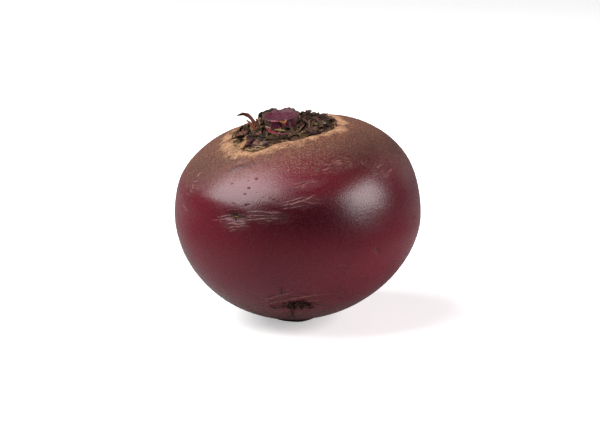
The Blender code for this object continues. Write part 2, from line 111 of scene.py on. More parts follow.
# Creases of the skin: polar angle and azimuth in degrees from left to right, half width and height in
# millimetres, and how pale the raised lip is. The pale lip is painted light, with a line of painted shadow
# in the groove over it, and a negative paleness paints a dark line instead
CREASES = (
    (((73.9, -115.7), (71.8, -110.2), (71.6, -104.4), (72.7, -99.9), (73.0, -95.8)), 0.34, 0.16, 0.8),
    (((76.0, -115.2), (74.6, -109.3), (74.5, -102.8), (73.7, -96.7)), 0.32, 0.16, 0.9),
    (((78.4, -114.7), (77.3, -108.4), (76.3, -103.7), (75.0, -99.0)), 0.34, 0.18, 1.0),
    (((79.2, -128.9), (77.8, -125.1), (76.3, -121.5)), 0.30, 0.14, 0.9),
    (((81.1, -131.9), (80.2, -126.7), (78.7, -121.7)), 0.30, 0.14, 0.8),
    (((82.5, -124.2), (81.1, -120.6), (81.3, -115.9), (79.7, -111.2)), 0.32, 0.17, 0.9),
    (((84.9, -123.1), (83.3, -120.1), (82.3, -115.4), (81.3, -111.6)), 0.32, 0.17, 0.9),
    (((86.3, -122.0), (84.5, -119.0), (84.3, -115.9)), 0.30, 0.14, 0.8),
    (((73.7, -124.7), (71.6, -120.4), (70.9, -115.7)), 0.30, 0.12, 0.6),
    (((67.0, -98.1), (66.7, -94.9), (66.0, -90.5), (63.7, -84.4), (61.6, -80.6), (59.2, -76.3)),
     0.46, 0.20, 1.2),
    (((69.7, -98.3), (69.2, -93.2), (68.4, -88.0), (67.6, -83.3)), 0.32, 0.16, 0.8),
    (((53.9, -90.9), (53.4, -86.6), (52.1, -82.1), (51.2, -77.8)), 0.32, 0.15, 0.9),
    (((51.1, -88.9), (50.4, -84.4), (49.9, -79.9), (50.0, -76.0)), 0.30, 0.13, 0.7),
    (((44.5, -70.9), (43.6, -66.1), (44.4, -61.2)), 0.40, 0.15, 0.9),
    (((40.1, -60.1), (40.5, -55.3), (42.2, -51.3)), 0.36, 0.13, 0.8),
    (((64.8, -97.0), (63.8, -91.5), (61.9, -86.0), (60.9, -82.5)), 0.40, 0.15, 0.9),
    (((45.3, -79.7), (44.8, -76.5)), 0.28, 0.10, 0.6),
    (((54.2, -38.2), (53.8, -34.2), (54.0, -31.0)), 0.36, 0.14, 1.1),
    (((59.4, -33.1), (59.5, -29.3), (58.9, -25.4)), 0.36, 0.14, 1.1),
    (((46.8, -152.6), (49.4, -154.1), (52.2, -152.8)), 0.46, 0.16, 1.5),
    (((54.0, -151.2), (56.8, -152.3)), 0.44, 0.15, 1.4),
    (((58.2, -153.4), (60.9, -151.6), (62.0, -149.2)), 0.44, 0.15, 1.3),
    (((62.8, -150.8), (66.6, -151.6)), 0.42, 0.14, 1.2),
    (((76.0, -155.3), (78.8, -154.8), (80.2, -151.9), (80.1, -148.9)), 0.46, 0.16, 1.4),
    (((128.3, -109.4), (124.3, -102.8), (121.5, -97.2), (119.4, -92.0), (118.9, -86.9)), 0.60, 0.55, 0.9),
    (((133.3, -111.4), (130.6, -106.4), (128.4, -101.2), (124.8, -92.2), (123.0, -83.3), (122.3, -72.9)),
     0.62, 0.62, 1.0),
    (((128.0, -87.3), (128.0, -80.3), (127.3, -74.2)), 0.50, 0.40, 0.8),
    (((42.5, -132.0), (37.6, -124.9), (35.0, -118.3), (33.0, -112.9), (30.3, -108.4)), 1.5, 0.25, -1.3),
    (((69.4, 54.0), (68.2, 60.0), (68.8, 65.5)), 0.34, 0.16, 0.9),
    (((72.6, 70.0), (71.0, 76.5), (71.8, 83.0)), 0.34, 0.16, 0.9),
    (((75.2, 62.0), (76.8, 68.0), (75.8, 75.0)), 0.34, 0.15, 0.8),
    (((118.4, 74.0), (117.0, 82.0), (118.8, 91.0)), 0.42, 0.22, 0.9),
    (((128.8, 76.0), (130.2, 84.0), (129.0, 93.0)), 0.40, 0.20, 0.9),
)
DRAWN_CREASES = 54  # short ones drawn over the sides and the back
CREASE_WIDTH = 0.7  # shares of those sizes that the skin gets
CREASE_HEIGHT = 0.45

# Places where the skin has shrunk into fine level wrinkles: polar angle and azimuth in degrees, half the
# width and half the height in millimetres, and how strongly
WRINKLED = (
    (74.8, -105.0, 9.0, 3.2, 1.0), (82.0, -119.0, 5.5, 2.6, 0.9), (65.0, -89.0, 9.0, 4.0, 0.8),
    (52.5, -83.0, 8.0, 3.4, 0.8), (44.0, -62.0, 10.0, 4.0, 0.6), (56.5, -33.0, 6.0, 5.0, 0.6),
    (62.0, -152.0, 5.0, 12.0, 0.6), (125.5, -92.0, 13.0, 4.2, 0.8), (70.0, 66.0, 10.0, 4.0, 0.9),
    (124.0, 84.0, 10.0, 4.0, 0.8), (60.0, 120.0, 14.0, 5.0, 0.6), (84.0, 10.0, 12.0, 4.0, 0.5),
    (105.0, -67.5, 3.2, 2.4, 0.6),
)

# Dark specks: polar angle and azimuth in degrees, radius in millimetres and strength
SPECKS = (
    (45.0, -108.7, 0.48, 1.0), (52.5, -112.3, 0.52, 1.0), (57.7, -113.9, 0.44, 1.0),
    (52.9, -136.4, 0.36, 0.8), (49.9, -123.3, 0.36, 0.7), (46.6, -113.5, 0.22, 0.7),
    (60.4, -104.0, 0.26, 0.6), (56.0, -107.5, 0.22, 0.6), (67.1, -119.2, 0.36, 0.7),
    (67.2, -112.9, 0.62, 1.0), (66.4, -111.6, 0.40, 1.0), (68.6, -115.2, 0.30, 0.7),
    (60.8, -100.6, 0.34, 0.9), (62.2, -99.2, 0.46, 1.0), (63.8, -97.6, 0.54, 1.0), (65.2, -97.2, 0.34, 0.8),
    (98.9, -50.6, 0.46, 1.0), (100.1, -50.9, 0.40, 1.0),
)
DRAWN_SPECKS = 44  # more over the sides and the back

# Tufts of root hair: polar angle and azimuth in degrees, spread to the right and down in millimetres,
# how many hairs, and whether they all lie slanting
TUFTS = (
    (76.2, -118.0, 1.4, 0.8, 30, True), (131.5, -88.7, 2.3, 1.0, 70, False),
    (71.0, 66.0, 1.4, 0.8, 28, True), (124.5, 84.0, 2.2, 1.0, 66, False),
)

STUB_HAIRS = 46  # more round the taproot's end
STRIP_LEVELS = 6  # rings of vertices along a shred or a hair

# How far down the corky shoulder reaches: (azimuth in degrees, polar angle in degrees)
SHOULDER_REACH = (
    (-180, 57), (-162, 55), (-141, 45), (-125, 35), (-110, 31), (-77, 31), (-55, 35), (-35, 41), (-10, 55),
    (30, 58), (75, 48), (120, 50), (180, 57),
)

# Where the shoulder is darker, as painted shade strongest at the right: polar angle and azimuth, half
# height and half width in degrees, and how much
PAINTED_SHADE_PLACES = (
    (45.0, -38.0, 18.0, 44.0, 1.0), (54.0, -6.0, 14.0, 24.0, 0.9), (52.0, -152.0, 19.0, 30.0, 0.6),
    (48.0, 120.0, 18.0, 40.0, 0.5),
)

# How many degrees the shoulder's edge fades over, and how many millimetres apart the ripples and the
# fine wrinkles round the crown are
SHOULDER_FADE = 32.0
RIPPLE = 1.9
RING_WRINKLE = 1.1

# Where the maroon is deepest: a band half way up, partly the beet's own deeper tone and partly painted
# shade, strongest at the front between the two highlights. Polar angle of its middle and half its height in
# degrees, and then azimuths in degrees and how much there
SHADED_DEEP_BAND = (75.0, 19.0)
SHADED_DEEP_PLACES = ((-84, 1.0), (-55, 0.35), (-26, 0.35), (-118, 0.4), (10, 0.6), (80, 0.9), (150, 0.6))

# The photograph's view: how far above the horizon, and metres from the middle of the beet
CAMERA_RISE = math.radians(14.0)
CAMERA_DISTANCE = 0.542

# Settings of the nodes that mix colours and multiply numbers
COLOURS = {"data_type": "RGBA"}
TIMES = {"operation": "MULTIPLY"}

# Colours of the crown's dried tissue and its fresher strands
SOOT = "#1e120c"
CRUST = "#342319"
UMBER = "#493225"
BROWN = "#60422e"
RUSSET = "#6d4030"
TAN = "#95704c"
STRAW = "#927b54"
OLIVE = "#5b4f2f"
MOSS = "#3b3220"
PLUM = "#4b2431"
# a painted highlight's colour, for a strip at the claws' base
SALMON_HIGHLIGHT = "#a9745c"
ASH = "#6f625c"
WHITE = (1.0, 1.0, 1.0, 1.0)


def smooth(x):
    """0 below 0, 1 above 1, and an even slope between them."""
    x = np.clip(x, 0.0, 1.0)
    return x * x * (3.0 - 2.0 * x)


def bump(x):
    return np.exp(-np.square(x))


def angle_between(a, b):
    return (a - b + math.pi) % TURN - math.pi


def waves(points, length, seed, count=16):
    """A smooth unevenness round 0 whose bumps are about this long, from sine waves in drawn directions."""
    draw = np.random.default_rng(seed)
    total = np.zeros(len(points))
    for _ in range(count):
        towards = draw.normal(size=3)
        towards *= TURN / (length * draw.uniform(0.75, 1.6) * np.linalg.norm(towards))
        total += np.sin(points @ towards + draw.uniform(0.0, TURN))
    return total / math.sqrt(count)


def settled(points):
    """Points of the straight body, N by 3 in millimetres, in their places in metres."""
    x, y, z = np.asarray(points, float).T
    share = smooth((z / HEIGHT_ABOVE - 0.05) / 0.85)
    left, front = LEAN_LEFT * share, LEAN_FRONT * share
    leaned_x = x * np.cos(left) - z * np.sin(left)
    leaned_z = x * np.sin(left) + z * np.cos(left)
    leaned_y = y * np.cos(front) - leaned_z * np.sin(front)
    leaned_z = y * np.sin(front) + leaned_z * np.cos(front)
    shift = CROWN_SHIFT * (1.0 - smooth(-z / DEPTH_BELOW))
    return np.column_stack((leaned_x + shift, leaned_y, leaned_z + EQUATOR_HEIGHT)) * MM


def outline(polar):
    """Radius and height of the plain turned body at polar angles."""
    polar = np.asarray(polar, float)
    above = smooth((np.cos(polar) + 0.25) / 0.7)
    power = 2.0 / (FULLNESS_BELOW + (FULLNESS_ABOVE - FULLNESS_BELOW) * above)
    height = np.abs(np.cos(polar)) ** power
    radius = EQUATOR_RADIUS * np.abs(np.sin(polar)) ** power
    return radius, height * np.where(polar < math.pi / 2.0, HEIGHT_ABOVE, -DEPTH_BELOW)


def eased_table(azimuth, table):
    """The value that a table of (degrees, value) rows gives at each azimuth, eased between its rows."""
    degrees = (np.degrees(azimuth) + 180.0) % 360.0 - 180.0
    starts, values = np.array(table, float).T
    row = np.clip(np.searchsorted(starts, degrees, side="right") - 1, 0, len(starts) - 2)
    share = smooth((degrees - starts[row]) / (starts[row + 1] - starts[row]))
    return values[row] + (values[row + 1] - values[row]) * share


def crown_relief(radius, azimuth):
    reach = eased_table(azimuth, COLLAR_REACH)
    seat = -SEAT_DEPTH * smooth((reach + SEAT_EDGE - radius) / SEAT_SLOPE)
    rim = RIM_HEIGHT * bump((radius - reach - RIM_GAP) / RIM_WIDTH)
    across = (radius * np.cos(azimuth) - HOLLOW_MIDDLE[0]) / HOLLOW_HALF_WIDTH
    back = (radius * np.sin(azimuth) - HOLLOW_MIDDLE[1]) / HOLLOW_HALF_LENGTH
    return seat + rim - HOLLOW_DEPTH * bump(across * across) * bump(back)


def off_middle(polar, azimuth, mark_polar, mark_azimuth):
    """How far places lie to the right of and below a mark's middle, in millimetres along the skin."""
    across = outline(polar)[0] * angle_between(azimuth, math.radians(mark_azimuth))
    return across, EQUATOR_RADIUS * (polar - math.radians(mark_polar))


def scar_offset(polar, azimuth, scar):
    across, down = off_middle(polar, azimuth, scar[0], scar[1])
    return np.hypot(across / scar[2], down / scar[3])


def body_relief(polar, azimuth):
    """How far the solid's skin stands out of the plain turned body."""
    around = sum(height * np.cos(count * (azimuth - towards)) for count, height, towards in LOBES)
    height = around * np.sin(polar) ** 2
    for scar in SCARS:
        height = height - scar[4] * bump(scar_offset(polar, azimuth, scar))
    return height + np.where(polar < math.pi / 2.0, crown_relief(outline(polar)[0], azimuth), 0.0)


def on_skin(polar, azimuth, out):
    """Places this far out of the plain turned body, in millimetres."""
    step = 0.01
    radius, height = outline(polar)
    before, after = outline(np.maximum(polar - step, 0.0)), outline(np.minimum(polar + step, math.pi))
    facing = np.stack((before[1] - after[1], after[0] - before[0]))
    facing /= np.linalg.norm(facing, axis=0)
    radius, height = radius + facing[0] * out, height + facing[1] * out
    return np.column_stack((radius * np.cos(azimuth), radius * np.sin(azimuth), height))


def crown_height(x, y):
    """Height of the skin of the crown over places seen from above."""
    radius, azimuth = np.hypot(x, y), np.arctan2(y, x)
    dome = 1.0 - (np.minimum(radius, EQUATOR_RADIUS) / EQUATOR_RADIUS) ** FULLNESS_ABOVE
    return HEIGHT_ABOVE * dome ** (1.0 / FULLNESS_ABOVE) + crown_relief(radius, azimuth)


def drawn_creases():
    """Short fine creases, mostly level, over the sides and the back, where the named ones don't reach."""
    draw = random.Random(41)
    made = []
    while len(made) < DRAWN_CREASES:
        polar, azimuth = draw.uniform(42, 138), draw.uniform(-28, 212)
        if abs(angle_between(math.radians(azimuth), math.radians(90))) > math.radians(112):
            continue
        span = math.degrees(draw.uniform(2.5, 8.0) / EQUATOR_RADIUS)
        tilt, bend = draw.uniform(-0.28, 0.28), draw.uniform(-1.4, 1.4)
        ways = (-1, -0.3, 0.3, 1)
        route = [(polar + tilt * span * x + bend * (1.0 - x * x), azimuth + span * x) for x in ways]
        made.append((route, draw.uniform(0.26, 0.36), draw.uniform(0.08, 0.2), draw.uniform(0.2, 0.7)))
    return made


def drawn_specks():
    draw = random.Random(43)
    made = []
    while len(made) < DRAWN_SPECKS:
        polar, azimuth = draw.uniform(38, 140), draw.uniform(-180, 180)
        if not -150 < azimuth < -35:
            made.append((polar, azimuth, draw.uniform(0.22, 0.5), draw.uniform(0.4, 1.0)))
    return made


def crease_fields(polar, azimuth, creases):
    """For each place: millimetres from the nearest crease, the creases' lift, and their paleness, which is
    painted light on the raised lip and painted shadow in the groove over it.
    """
    nearest, lift, tint = np.full(len(polar), 99.0), np.zeros(len(polar)), np.zeros(len(polar))
    for route, half_width, height, paleness in creases:
        route = np.radians(route)
        half_width, height = CREASE_WIDTH * half_width, CREASE_HEIGHT * height
        middle = route.mean(axis=0)
        reach = (np.ptp(route, axis=0).max() + 0.15) * 1.2
        gap = angle_between(azimuth, middle[1])
        level = np.abs(polar - middle[0]) < reach
        near = np.flatnonzero(level & (np.abs(gap) < reach / math.sin(middle[0])))
        if not len(near):
            continue
        wide = float(outline(middle[0])[0])
        here = np.column_stack((wide * gap[near], EQUATOR_RADIUS * (polar[near] - middle[0])))
        off_polar, off_azimuth = (route - middle).T
        points = np.column_stack((wide * off_azimuth, EQUATOR_RADIUS * off_polar))
        runs = np.linalg.norm(np.diff(points, axis=0), axis=1)
        starts = np.concatenate(([0.0], np.cumsum(runs)))
        best, side, along = np.full(len(near), 99.0), np.zeros(len(near)), np.zeros(len(near))
        for start, end, run, begun in zip(points, points[1:], runs, starts):
            step = (end - start) / run
            off = here - start
            share = np.clip(off @ step, 0.0, run)
            distance = np.linalg.norm(off - share[:, None] * step, axis=1)
            closer = distance < best
            below = step[0] * off[:, 1] - step[1] * off[:, 0]
            best = np.where(closer, distance, best)
            side = np.where(closer, np.sign(below) * distance, side)
            along = np.where(closer, (begun + share) / starts[-1], along)
        taper = smooth(np.minimum(along, 1.0 - along) / 0.30) * 0.95 + 0.05
        uneven = np.column_stack((along * starts[-1], np.zeros((len(near), 2))))
        taper *= 0.72 + 0.28 * np.tanh(1.5 * waves(uneven, 1.3, 71))
        side += 0.10 * waves(uneven, 2.2, 72)
        taper *= bump(np.maximum(best - np.abs(side) - 0.2, 0.0) / half_width)
        lip, groove = bump(side / half_width), bump(side / half_width + 1.7)
        nearest[near] = np.minimum(nearest[near], best)
        lift[near] += height * taper * (lip - 0.8 * groove)
        # painted light on the raised lip, and painted shadow in the groove over it
        tint[near] += paleness * taper * (lip - 0.75 * groove * (paleness > 0))
    return nearest, lift, tint


def polar_azimuth(places):
    """Polar angle and azimuth of places on a ball."""
    x, y, z = places.T
    return np.arctan2(np.hypot(x, y), z), np.arctan2(y, x)


def places_of(mesh):
    places = np.zeros(len(mesh.vertices) * 3)
    mesh.vertices.foreach_get("co", places)
    return places.reshape(-1, 3)


def placed(mesh, places):
    mesh.vertices.foreach_set("co", np.asarray(places, np.float32).ravel())
    mesh.update()


def with_field(mesh, name, values):
    """Keeps one number for each vertex in the mesh, for its material to read."""
    field = mesh.attributes.new(name, "FLOAT", "POINT")
    field.data.foreach_set("value", np.asarray(values, np.float32))


def mesh_from(name, shape):
    mesh = bpy.data.meshes.new(name)
    shape.to_mesh(mesh)
    shape.free()
    return mesh


def piece_of(name, mesh, material, slot, *stands_for):
    """A finished piece of the beet that rides on its only body."""
    mesh.materials.append(material)
    piece = bpy.data.objects.new(name, mesh)
    bpy.context.scene.collection.objects.link(piece)
    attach(piece, "root")
    if stands_for:
        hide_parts(*stands_for)
    return piece


def linear(colour):
    """A colour from its sRGB hex value, as the linear numbers that the shaders take."""
    shares = (int(colour[i : i + 2], 16) / 255.0 for i in (1, 3, 5))
    return (*(c / 12.92 if c <= 0.04045 else ((c + 0.055) / 1.055) ** 2.4 for c in shares), 1.0)


def fill(node, inputs):
    """Sets a node's inputs, by name or in the order of those in use, to numbers, hex colours or outputs."""
    sockets = [socket for socket in node.inputs if socket.enabled]
    if isinstance(inputs, dict):
        sockets, inputs = [node.inputs[name] for name in inputs], inputs.values()
    for socket, value in zip(sockets, inputs):
        if isinstance(value, bpy.types.NodeSocket):
            node.id_data.links.new(value, socket)
        else:
            socket.default_value = linear(value) if isinstance(value, str) else value


def add(tree, kind, *inputs, out=None, **settings):
    """Adds a node, its inputs one by one or in one dict, and gives its first output or the one named."""
    made = tree.nodes.new("ShaderNode" + kind)
    for name, value in settings.items():
        setattr(made, name, value)
    fill(made, inputs[0] if inputs and isinstance(inputs[0], dict) else inputs)
    return made.outputs[out] if out else next((end for end in made.outputs if end.enabled), None)


def new_material(name):
    """A material, what adds a node to it, and its shader."""
    made = bpy.data.materials.new(name)
    made.use_nodes = True
    return made, partial(add, made.node_tree), made.node_tree.nodes["Principled BSDF"]


def in_millimetres(node, stretch=(1.0, 1.0, 1.0)):
    """Object coordinates in millimetres, so that a texture's scale is one over its size."""
    scale = tuple(1000.0 * share for share in stretch)
    return node("Mapping", {"Vector": node("TexCoord", out="Object"), "Scale": scale})


def skin_finish():
    """Washed beetroot skin: a satin maroon periderm, with a dull corky shoulder round the crown, and
    painted light and shade on its creases and wrinkles, its shoulder and its middle band.
    """
    made, node, shader = new_material("beetroot_periderm_satin")
    place = in_millimetres(node)
    cork, rim, crease, scar, under, cut, deep, painted_shade, outside, wrinkle = (
        node("Attribute", out="Fac", attribute_name=name)
        for name in ("cork", "rim", "crease", "scar", "under", "cut", "deep", "painted_shade", "outside", "wrinkle")
    )
    clouds, grain, dark_grain, blotches, mottle, scurf, patches, gaps, drift, worn = (
        node("TexNoise", place, 1.0 / size, detail, roughness)
        for size, detail, roughness in (
            # how many millimetres wide the lumps are, detail and roughness. Real scurf is finer than
            # the 0.36 mm here, and is drawn as coarse as it needs to show
            (14.0, 3.0, 0.5),
            (0.55, 3.0, 0.6),
            (0.8, 2.0, 0.5),
            (5.0, 4.0, 0.5),
            (2.4, 5.0, 0.65),
            (0.36, 1.0, 0.5),
            (6.0, 3.0, 0.5),
            (4.0, 3.0, 0.5),
            (2.6, 4.0, 0.6),
            (1.7, 2.0, 0.5),
        )
    )
    level = node("TexNoise", in_millimetres(node, (0.16, 0.5, 1.0)), 1.0 / 0.62, 2.0)
    flecks = node("TexVoronoi", {"Vector": place, "Scale": 1.0 / 2.3, "Randomness": 1.0})

    # The maroon varies in broad clouds, and is deepest half way up: partly its own tone, partly painted
    # shade between the two highlights
    maroon = node("Mix", node("MapRange", clouds, 0.35, 0.65), "#5f1221", "#6e1728", **COLOURS)
    deep_and_shaded = node("Math", deep, node("MapRange", clouds, 0.3, 0.7, -0.15, 0.15))

    # The underside is browner, and the shoulder is corky in patches with a ragged edge
    browner = node("Math", under, node("MapRange", blotches, 0.3, 0.7, -0.25, 0.25))
    not_cork = node("Math", node("Math", cork, -1.0, **TIMES), 1.0)
    between = node("Math", node("Math", cork, not_cork, **TIMES), 4.0, **TIMES)
    speckled = node("Math", node("MapRange", scurf, 0.35, 0.65, -0.5, 0.5), between, **TIMES)
    patchy = node("MapRange", mottle, 0.3, 0.7, -0.22, 0.22)
    patchy = node("Math", patchy, node("MapRange", cork, 0.0, 0.25), **TIMES)
    edge = node("Math", node("Math", cork, patchy), speckled)
    corky = node("Mix", node("MapRange", grain, 0.38, 0.62), "#3a1b12", "#75482f", **COLOURS)
    corky = node("Mix", node("MapRange", patches, 0.45, 0.7, 0.0, 0.5), corky, "#563924", **COLOURS)
    # painted shade on the shoulder's cork
    corky = node("Mix", node("Math", painted_shade, 0.85, **TIMES), corky, "#34150f", **COLOURS)

    # The tan rim round the crown is broken by gaps
    tan = node("Mix", node("MapRange", grain, 0.38, 0.64), "#8a6045", "#cfa277", **COLOURS)
    broken = node("MapRange", gaps, 0.3, 0.7, -0.6, 0.32)
    loose = node("Math", node("MapRange", mottle, 0.3, 0.7, -0.3, 0.3), broken)
    rim_edge = node("Math", rim, node("Math", loose, node("MapRange", rim, 0.0, 0.25), **TIMES))

    # Specks of scurf are closest on the cork, and the pale ones are fewer in the shoulder's painted shade
    thick = node("MapRange", edge, 0.0, 0.8, 0.04, 0.6)
    pale_scurf = node("Math", node("MapRange", scurf, 0.58, 0.74), thick, **TIMES)
    pale_scurf = node("Math", pale_scurf, node("MapRange", painted_shade, 0.0, 1.0, 1.0, 0.4), **TIMES)

    # Fine wrinkles run round the collar, and level ones cross the places where the skin has shrunk
    wander = node("MapRange", drift, 0.0, 1.0, -16.0, 16.0)
    phase = node("Math", node("Math", outside, TURN / RING_WRINKLE, **TIMES), wander)
    rings = node("MapRange", node("Math", phase, operation="SINE"), -1.0, 1.0)
    near = node("MapRange", outside, 7.0, 2.0)
    near = node("Math", near, node("MapRange", worn, 0.42, 0.62), **TIMES)

    # Scars are torn in two browns, and the taproot's cut face is dry, with rings
    torn = node("Mix", node("MapRange", grain, 0.45, 0.66, 0.0, 0.75), "#281510", "#6a4838", **COLOURS)
    ragged_scar = node("Math", scar, node("MapRange", mottle, 0.3, 0.7, -0.2, 0.2))
    growth = node("TexWave", place, 0.16, 2.0, 2.0, out="Fac", wave_type="RINGS", rings_direction="Z")
    face = node("Mix", growth, "#4a2a26", "#8a5a50", **COLOURS)

    # Every coat over the maroon: how much of it shows, and its colour
    coats = (
        # the band half way up: the beet's own deeper tone and painted shade
        (node("MapRange", deep_and_shaded, 0.0, 1.0, 0.0, 0.9), "#2c020b"),
        (node("MapRange", grain, 0.54, 0.76, 0.0, 0.12), "#90504e"),
        (node("MapRange", dark_grain, 0.40, 0.25, 0.0, 0.25), "#2c0810"),
        (node("MapRange", flecks, 0.08, 0.03, 0.0, 0.16), "#a06c62"),
        # painted shade on the shoulder
        (node("Math", painted_shade, 0.8, **TIMES), "#36120f"),
        (node("MapRange", browner, 0.2, 1.1, 0.0, 0.75), "#663b33"),
        (node("MapRange", edge, 0.10, 1.0, 0.0, 0.94), corky),
        (node("MapRange", rim_edge, 0.2, 1.0, 0.0, 0.88), tan),
        (pale_scurf, "#a8806e"),
        (node("Math", node("MapRange", scurf, 0.42, 0.28), thick, **TIMES), "#2b1410"),
        # the wrinkles round the collar and the level ones: painted light on their crests and painted shade
        # in their troughs
        (node("Math", node("MapRange", rings, 0.6, 1.0, 0.0, 0.35), near, **TIMES), "#b98f6c"),
        (node("Math", node("MapRange", rings, 0.35, 0.0, 0.0, 0.35), near, **TIMES), "#4a2e24"),
        (node("Math", node("MapRange", level, 0.56, 0.70, 0.0, 0.34), wrinkle, **TIMES), "#a8766a"),
        (node("Math", node("MapRange", level, 0.46, 0.34, 0.0, 0.5), wrinkle, **TIMES), "#2a0a10"),
        # creases: a pale raised lip painted as lit, with a dark line of painted shadow over it
        (node("MapRange", crease, 0.12, 0.9, 0.0, 0.55), "#a07064"),
        (node("MapRange", crease, -0.1, -0.7, 0.0, 0.5), "#2a0a10"),
        (node("MapRange", ragged_scar, 0.25, 0.75, 0.0, 0.9), torn),
        (node("MapRange", cut, 0.3, 0.9), face),
    )
    colour = maroon
    for share, over in coats:
        colour = node("Mix", share, colour, over, **COLOURS)

    # The cork, the rim, scars and wrinkles are duller than the satin maroon
    matte = edge
    for field, weight in ((rim_edge, 0.6), (scar, 1.5), (wrinkle, 0.55)):
        matte = node("Math", matte, node("Math", field, weight, **TIMES))
    dull = node("MapRange", matte, 0.1, 0.9, 0.29, 0.78)

    # Relief, finest first: what stands out, and the millimetres that it stands for
    normal = node("Bump", {"Height": grain, "Distance": 0.055 * MM})
    for height, depth in (
        (flecks, 0.008),
        (node("Math", rings, near, **TIMES), 0.05),
        (node("Math", level, wrinkle, **TIMES), 0.12),
        (node("Math", mottle, node("MapRange", cork, 0.15, 1.0), **TIMES), 0.35),
    ):
        normal = node("Bump", {"Height": height, "Distance": depth * MM, "Normal": normal})
    rough = node("Math", dull, node("MapRange", grain, 0.3, 0.7, -0.05, 0.07))
    fill(shader, {"Base Color": colour, "Roughness": rough, "IOR": 1.45, "Normal": normal})
    return made


def stalk_finish():
    """Cut beet stalks: a moist magenta face with fibres, a dark crust on its edge and side."""
    made, node, shader = new_material("cut_stalk_fibrous")
    names = ("cut", "crust", "lip")
    cut, crust, lip = (node("Attribute", out="Fac", attribute_name=name) for name in names)
    fibres = node("TexNoise", in_millimetres(node, (1.0, 1.0, 0.35)), 1.0 / 0.55, 4.0, 0.65)
    patches = node("TexNoise", in_millimetres(node), 1.0 / 1.6, 3.0)
    ragged = node("Math", crust, node("MapRange", patches, 0.3, 0.7, -0.35, 0.35))
    face = node("Mix", node("MapRange", fibres, 0.36, 0.64), "#240812", "#6a2b40", **COLOURS)
    face = node("Mix", node("MapRange", patches, 0.48, 0.70, 0.0, 0.65), face, "#260a15", **COLOURS)
    dark = node("Mix", node("MapRange", fibres, 0.4, 0.62), "#231612", "#5a4232", **COLOURS)
    colour = node("Mix", node("MapRange", fibres, 0.38, 0.62), "#180408", "#5a1025", **COLOURS)
    for share, over in (
        (node("MapRange", cut, 0.35, 0.65), face),
        (node("MapRange", lip, 0.3, 0.9, 0.0, 0.85), "#a8626a"),
        (node("MapRange", ragged, 0.35, 0.7), dark),
    ):
        colour = node("Mix", share, colour, over, **COLOURS)
    rough = node("MapRange", ragged, 0.3, 0.8, 0.5, 0.8)
    normal = node("Bump", {"Height": fibres, "Distance": 0.22 * MM})
    fill(shader, {"Base Color": colour, "Roughness": rough, "Specular IOR Level": 0.3, "Normal": normal})
    return made


def husk_finish():
    """Dried leaf bases: papery brown scales and shreds, each with a colour of its own, dusty and matte."""
    made, node, shader = new_material("dried_leaf_base_papery")
    place = in_millimetres(node)
    colour = node("Attribute", out="Color", attribute_name="tint")
    tip = node("Attribute", out="Fac", attribute_name="tip")
    patches = node("TexNoise", place, 1.0 / 1.3, 4.0, 0.6)
    grain = node("TexNoise", place, 1.0 / 0.28, 2.0)
    for share, over in (
        (node("MapRange", patches, 0.42, 0.70, 0.0, 0.65), "#20150f"),
        (node("MapRange", grain, 0.54, 0.76, 0.0, 0.26), "#a8805e"),
        (node("MapRange", tip, 0.0, 0.25, 0.7, 0.0), SOOT),
    ):
        colour = node("Mix", share, colour, over, **COLOURS)
    rough = node("MapRange", grain, 0.3, 0.7, 0.7, 0.88)
    normal = node("Bump", {"Height": grain, "Distance": 0.06 * MM})
    normal = node("Bump", {"Height": patches, "Distance": 0.25 * MM, "Normal": normal})
    fill(shader, {"Base Color": colour, "Roughness": rough, "Specular IOR Level": 0.25, "Normal": normal})
    return made


def bed_finish():
    """The crust under the scales: dark dried tissue, darkened further as painted shade in the gaps between
    the scales, tan and scurfy towards its outer edge.
    """
    made, node, shader = new_material("dried_leaf_base_crust")
    place = in_millimetres(node)
    outer = node("Attribute", out="Fac", attribute_name="outer")
    patches = node("TexNoise", place, 1.0 / 1.4, 5.0, 0.65)
    grain = node("TexNoise", place, 1.0 / 0.4, 3.0)
    # the dark: the crust's own tissue, and painted shade in the gaps between the scales
    dark = node("Mix", node("MapRange", grain, 0.35, 0.65), "#15100d", "#3c2b21", **COLOURS)
    tan = node("Mix", node("MapRange", grain, 0.35, 0.65), "#6b4c38", "#a8835f", **COLOURS)
    edge = node("Math", outer, node("MapRange", patches, 0.3, 0.7, -0.35, 0.35))
    colour = node("Mix", node("MapRange", edge, 0.35, 0.8), dark, tan, **COLOURS)
    normal = node("Bump", {"Height": grain, "Distance": 0.15 * MM})
    normal = node("Bump", {"Height": patches, "Distance": 0.5 * MM, "Normal": normal})
    fill(shader, {"Base Color": colour, "Roughness": 0.85, "Specular IOR Level": 0.25, "Normal": normal})
    return made


def hair_finish():
    """Dry root hairs: dull dark brown fibres, paler where they are frayed."""
    made, node, shader = new_material("dry_root_fibre")
    own = node("Attribute", out="Color", attribute_name="tint")
    grain = node("TexNoise", in_millimetres(node), 1.0 / 0.3, 2.0)
    colour = node("Mix", node("MapRange", grain, 0.5, 0.8, 0.0, 0.4), own, "#553322", **COLOURS)
    fill(shader, {"Base Color": colour, "Roughness": 0.8, "Specular IOR Level": 0.25})
    return made


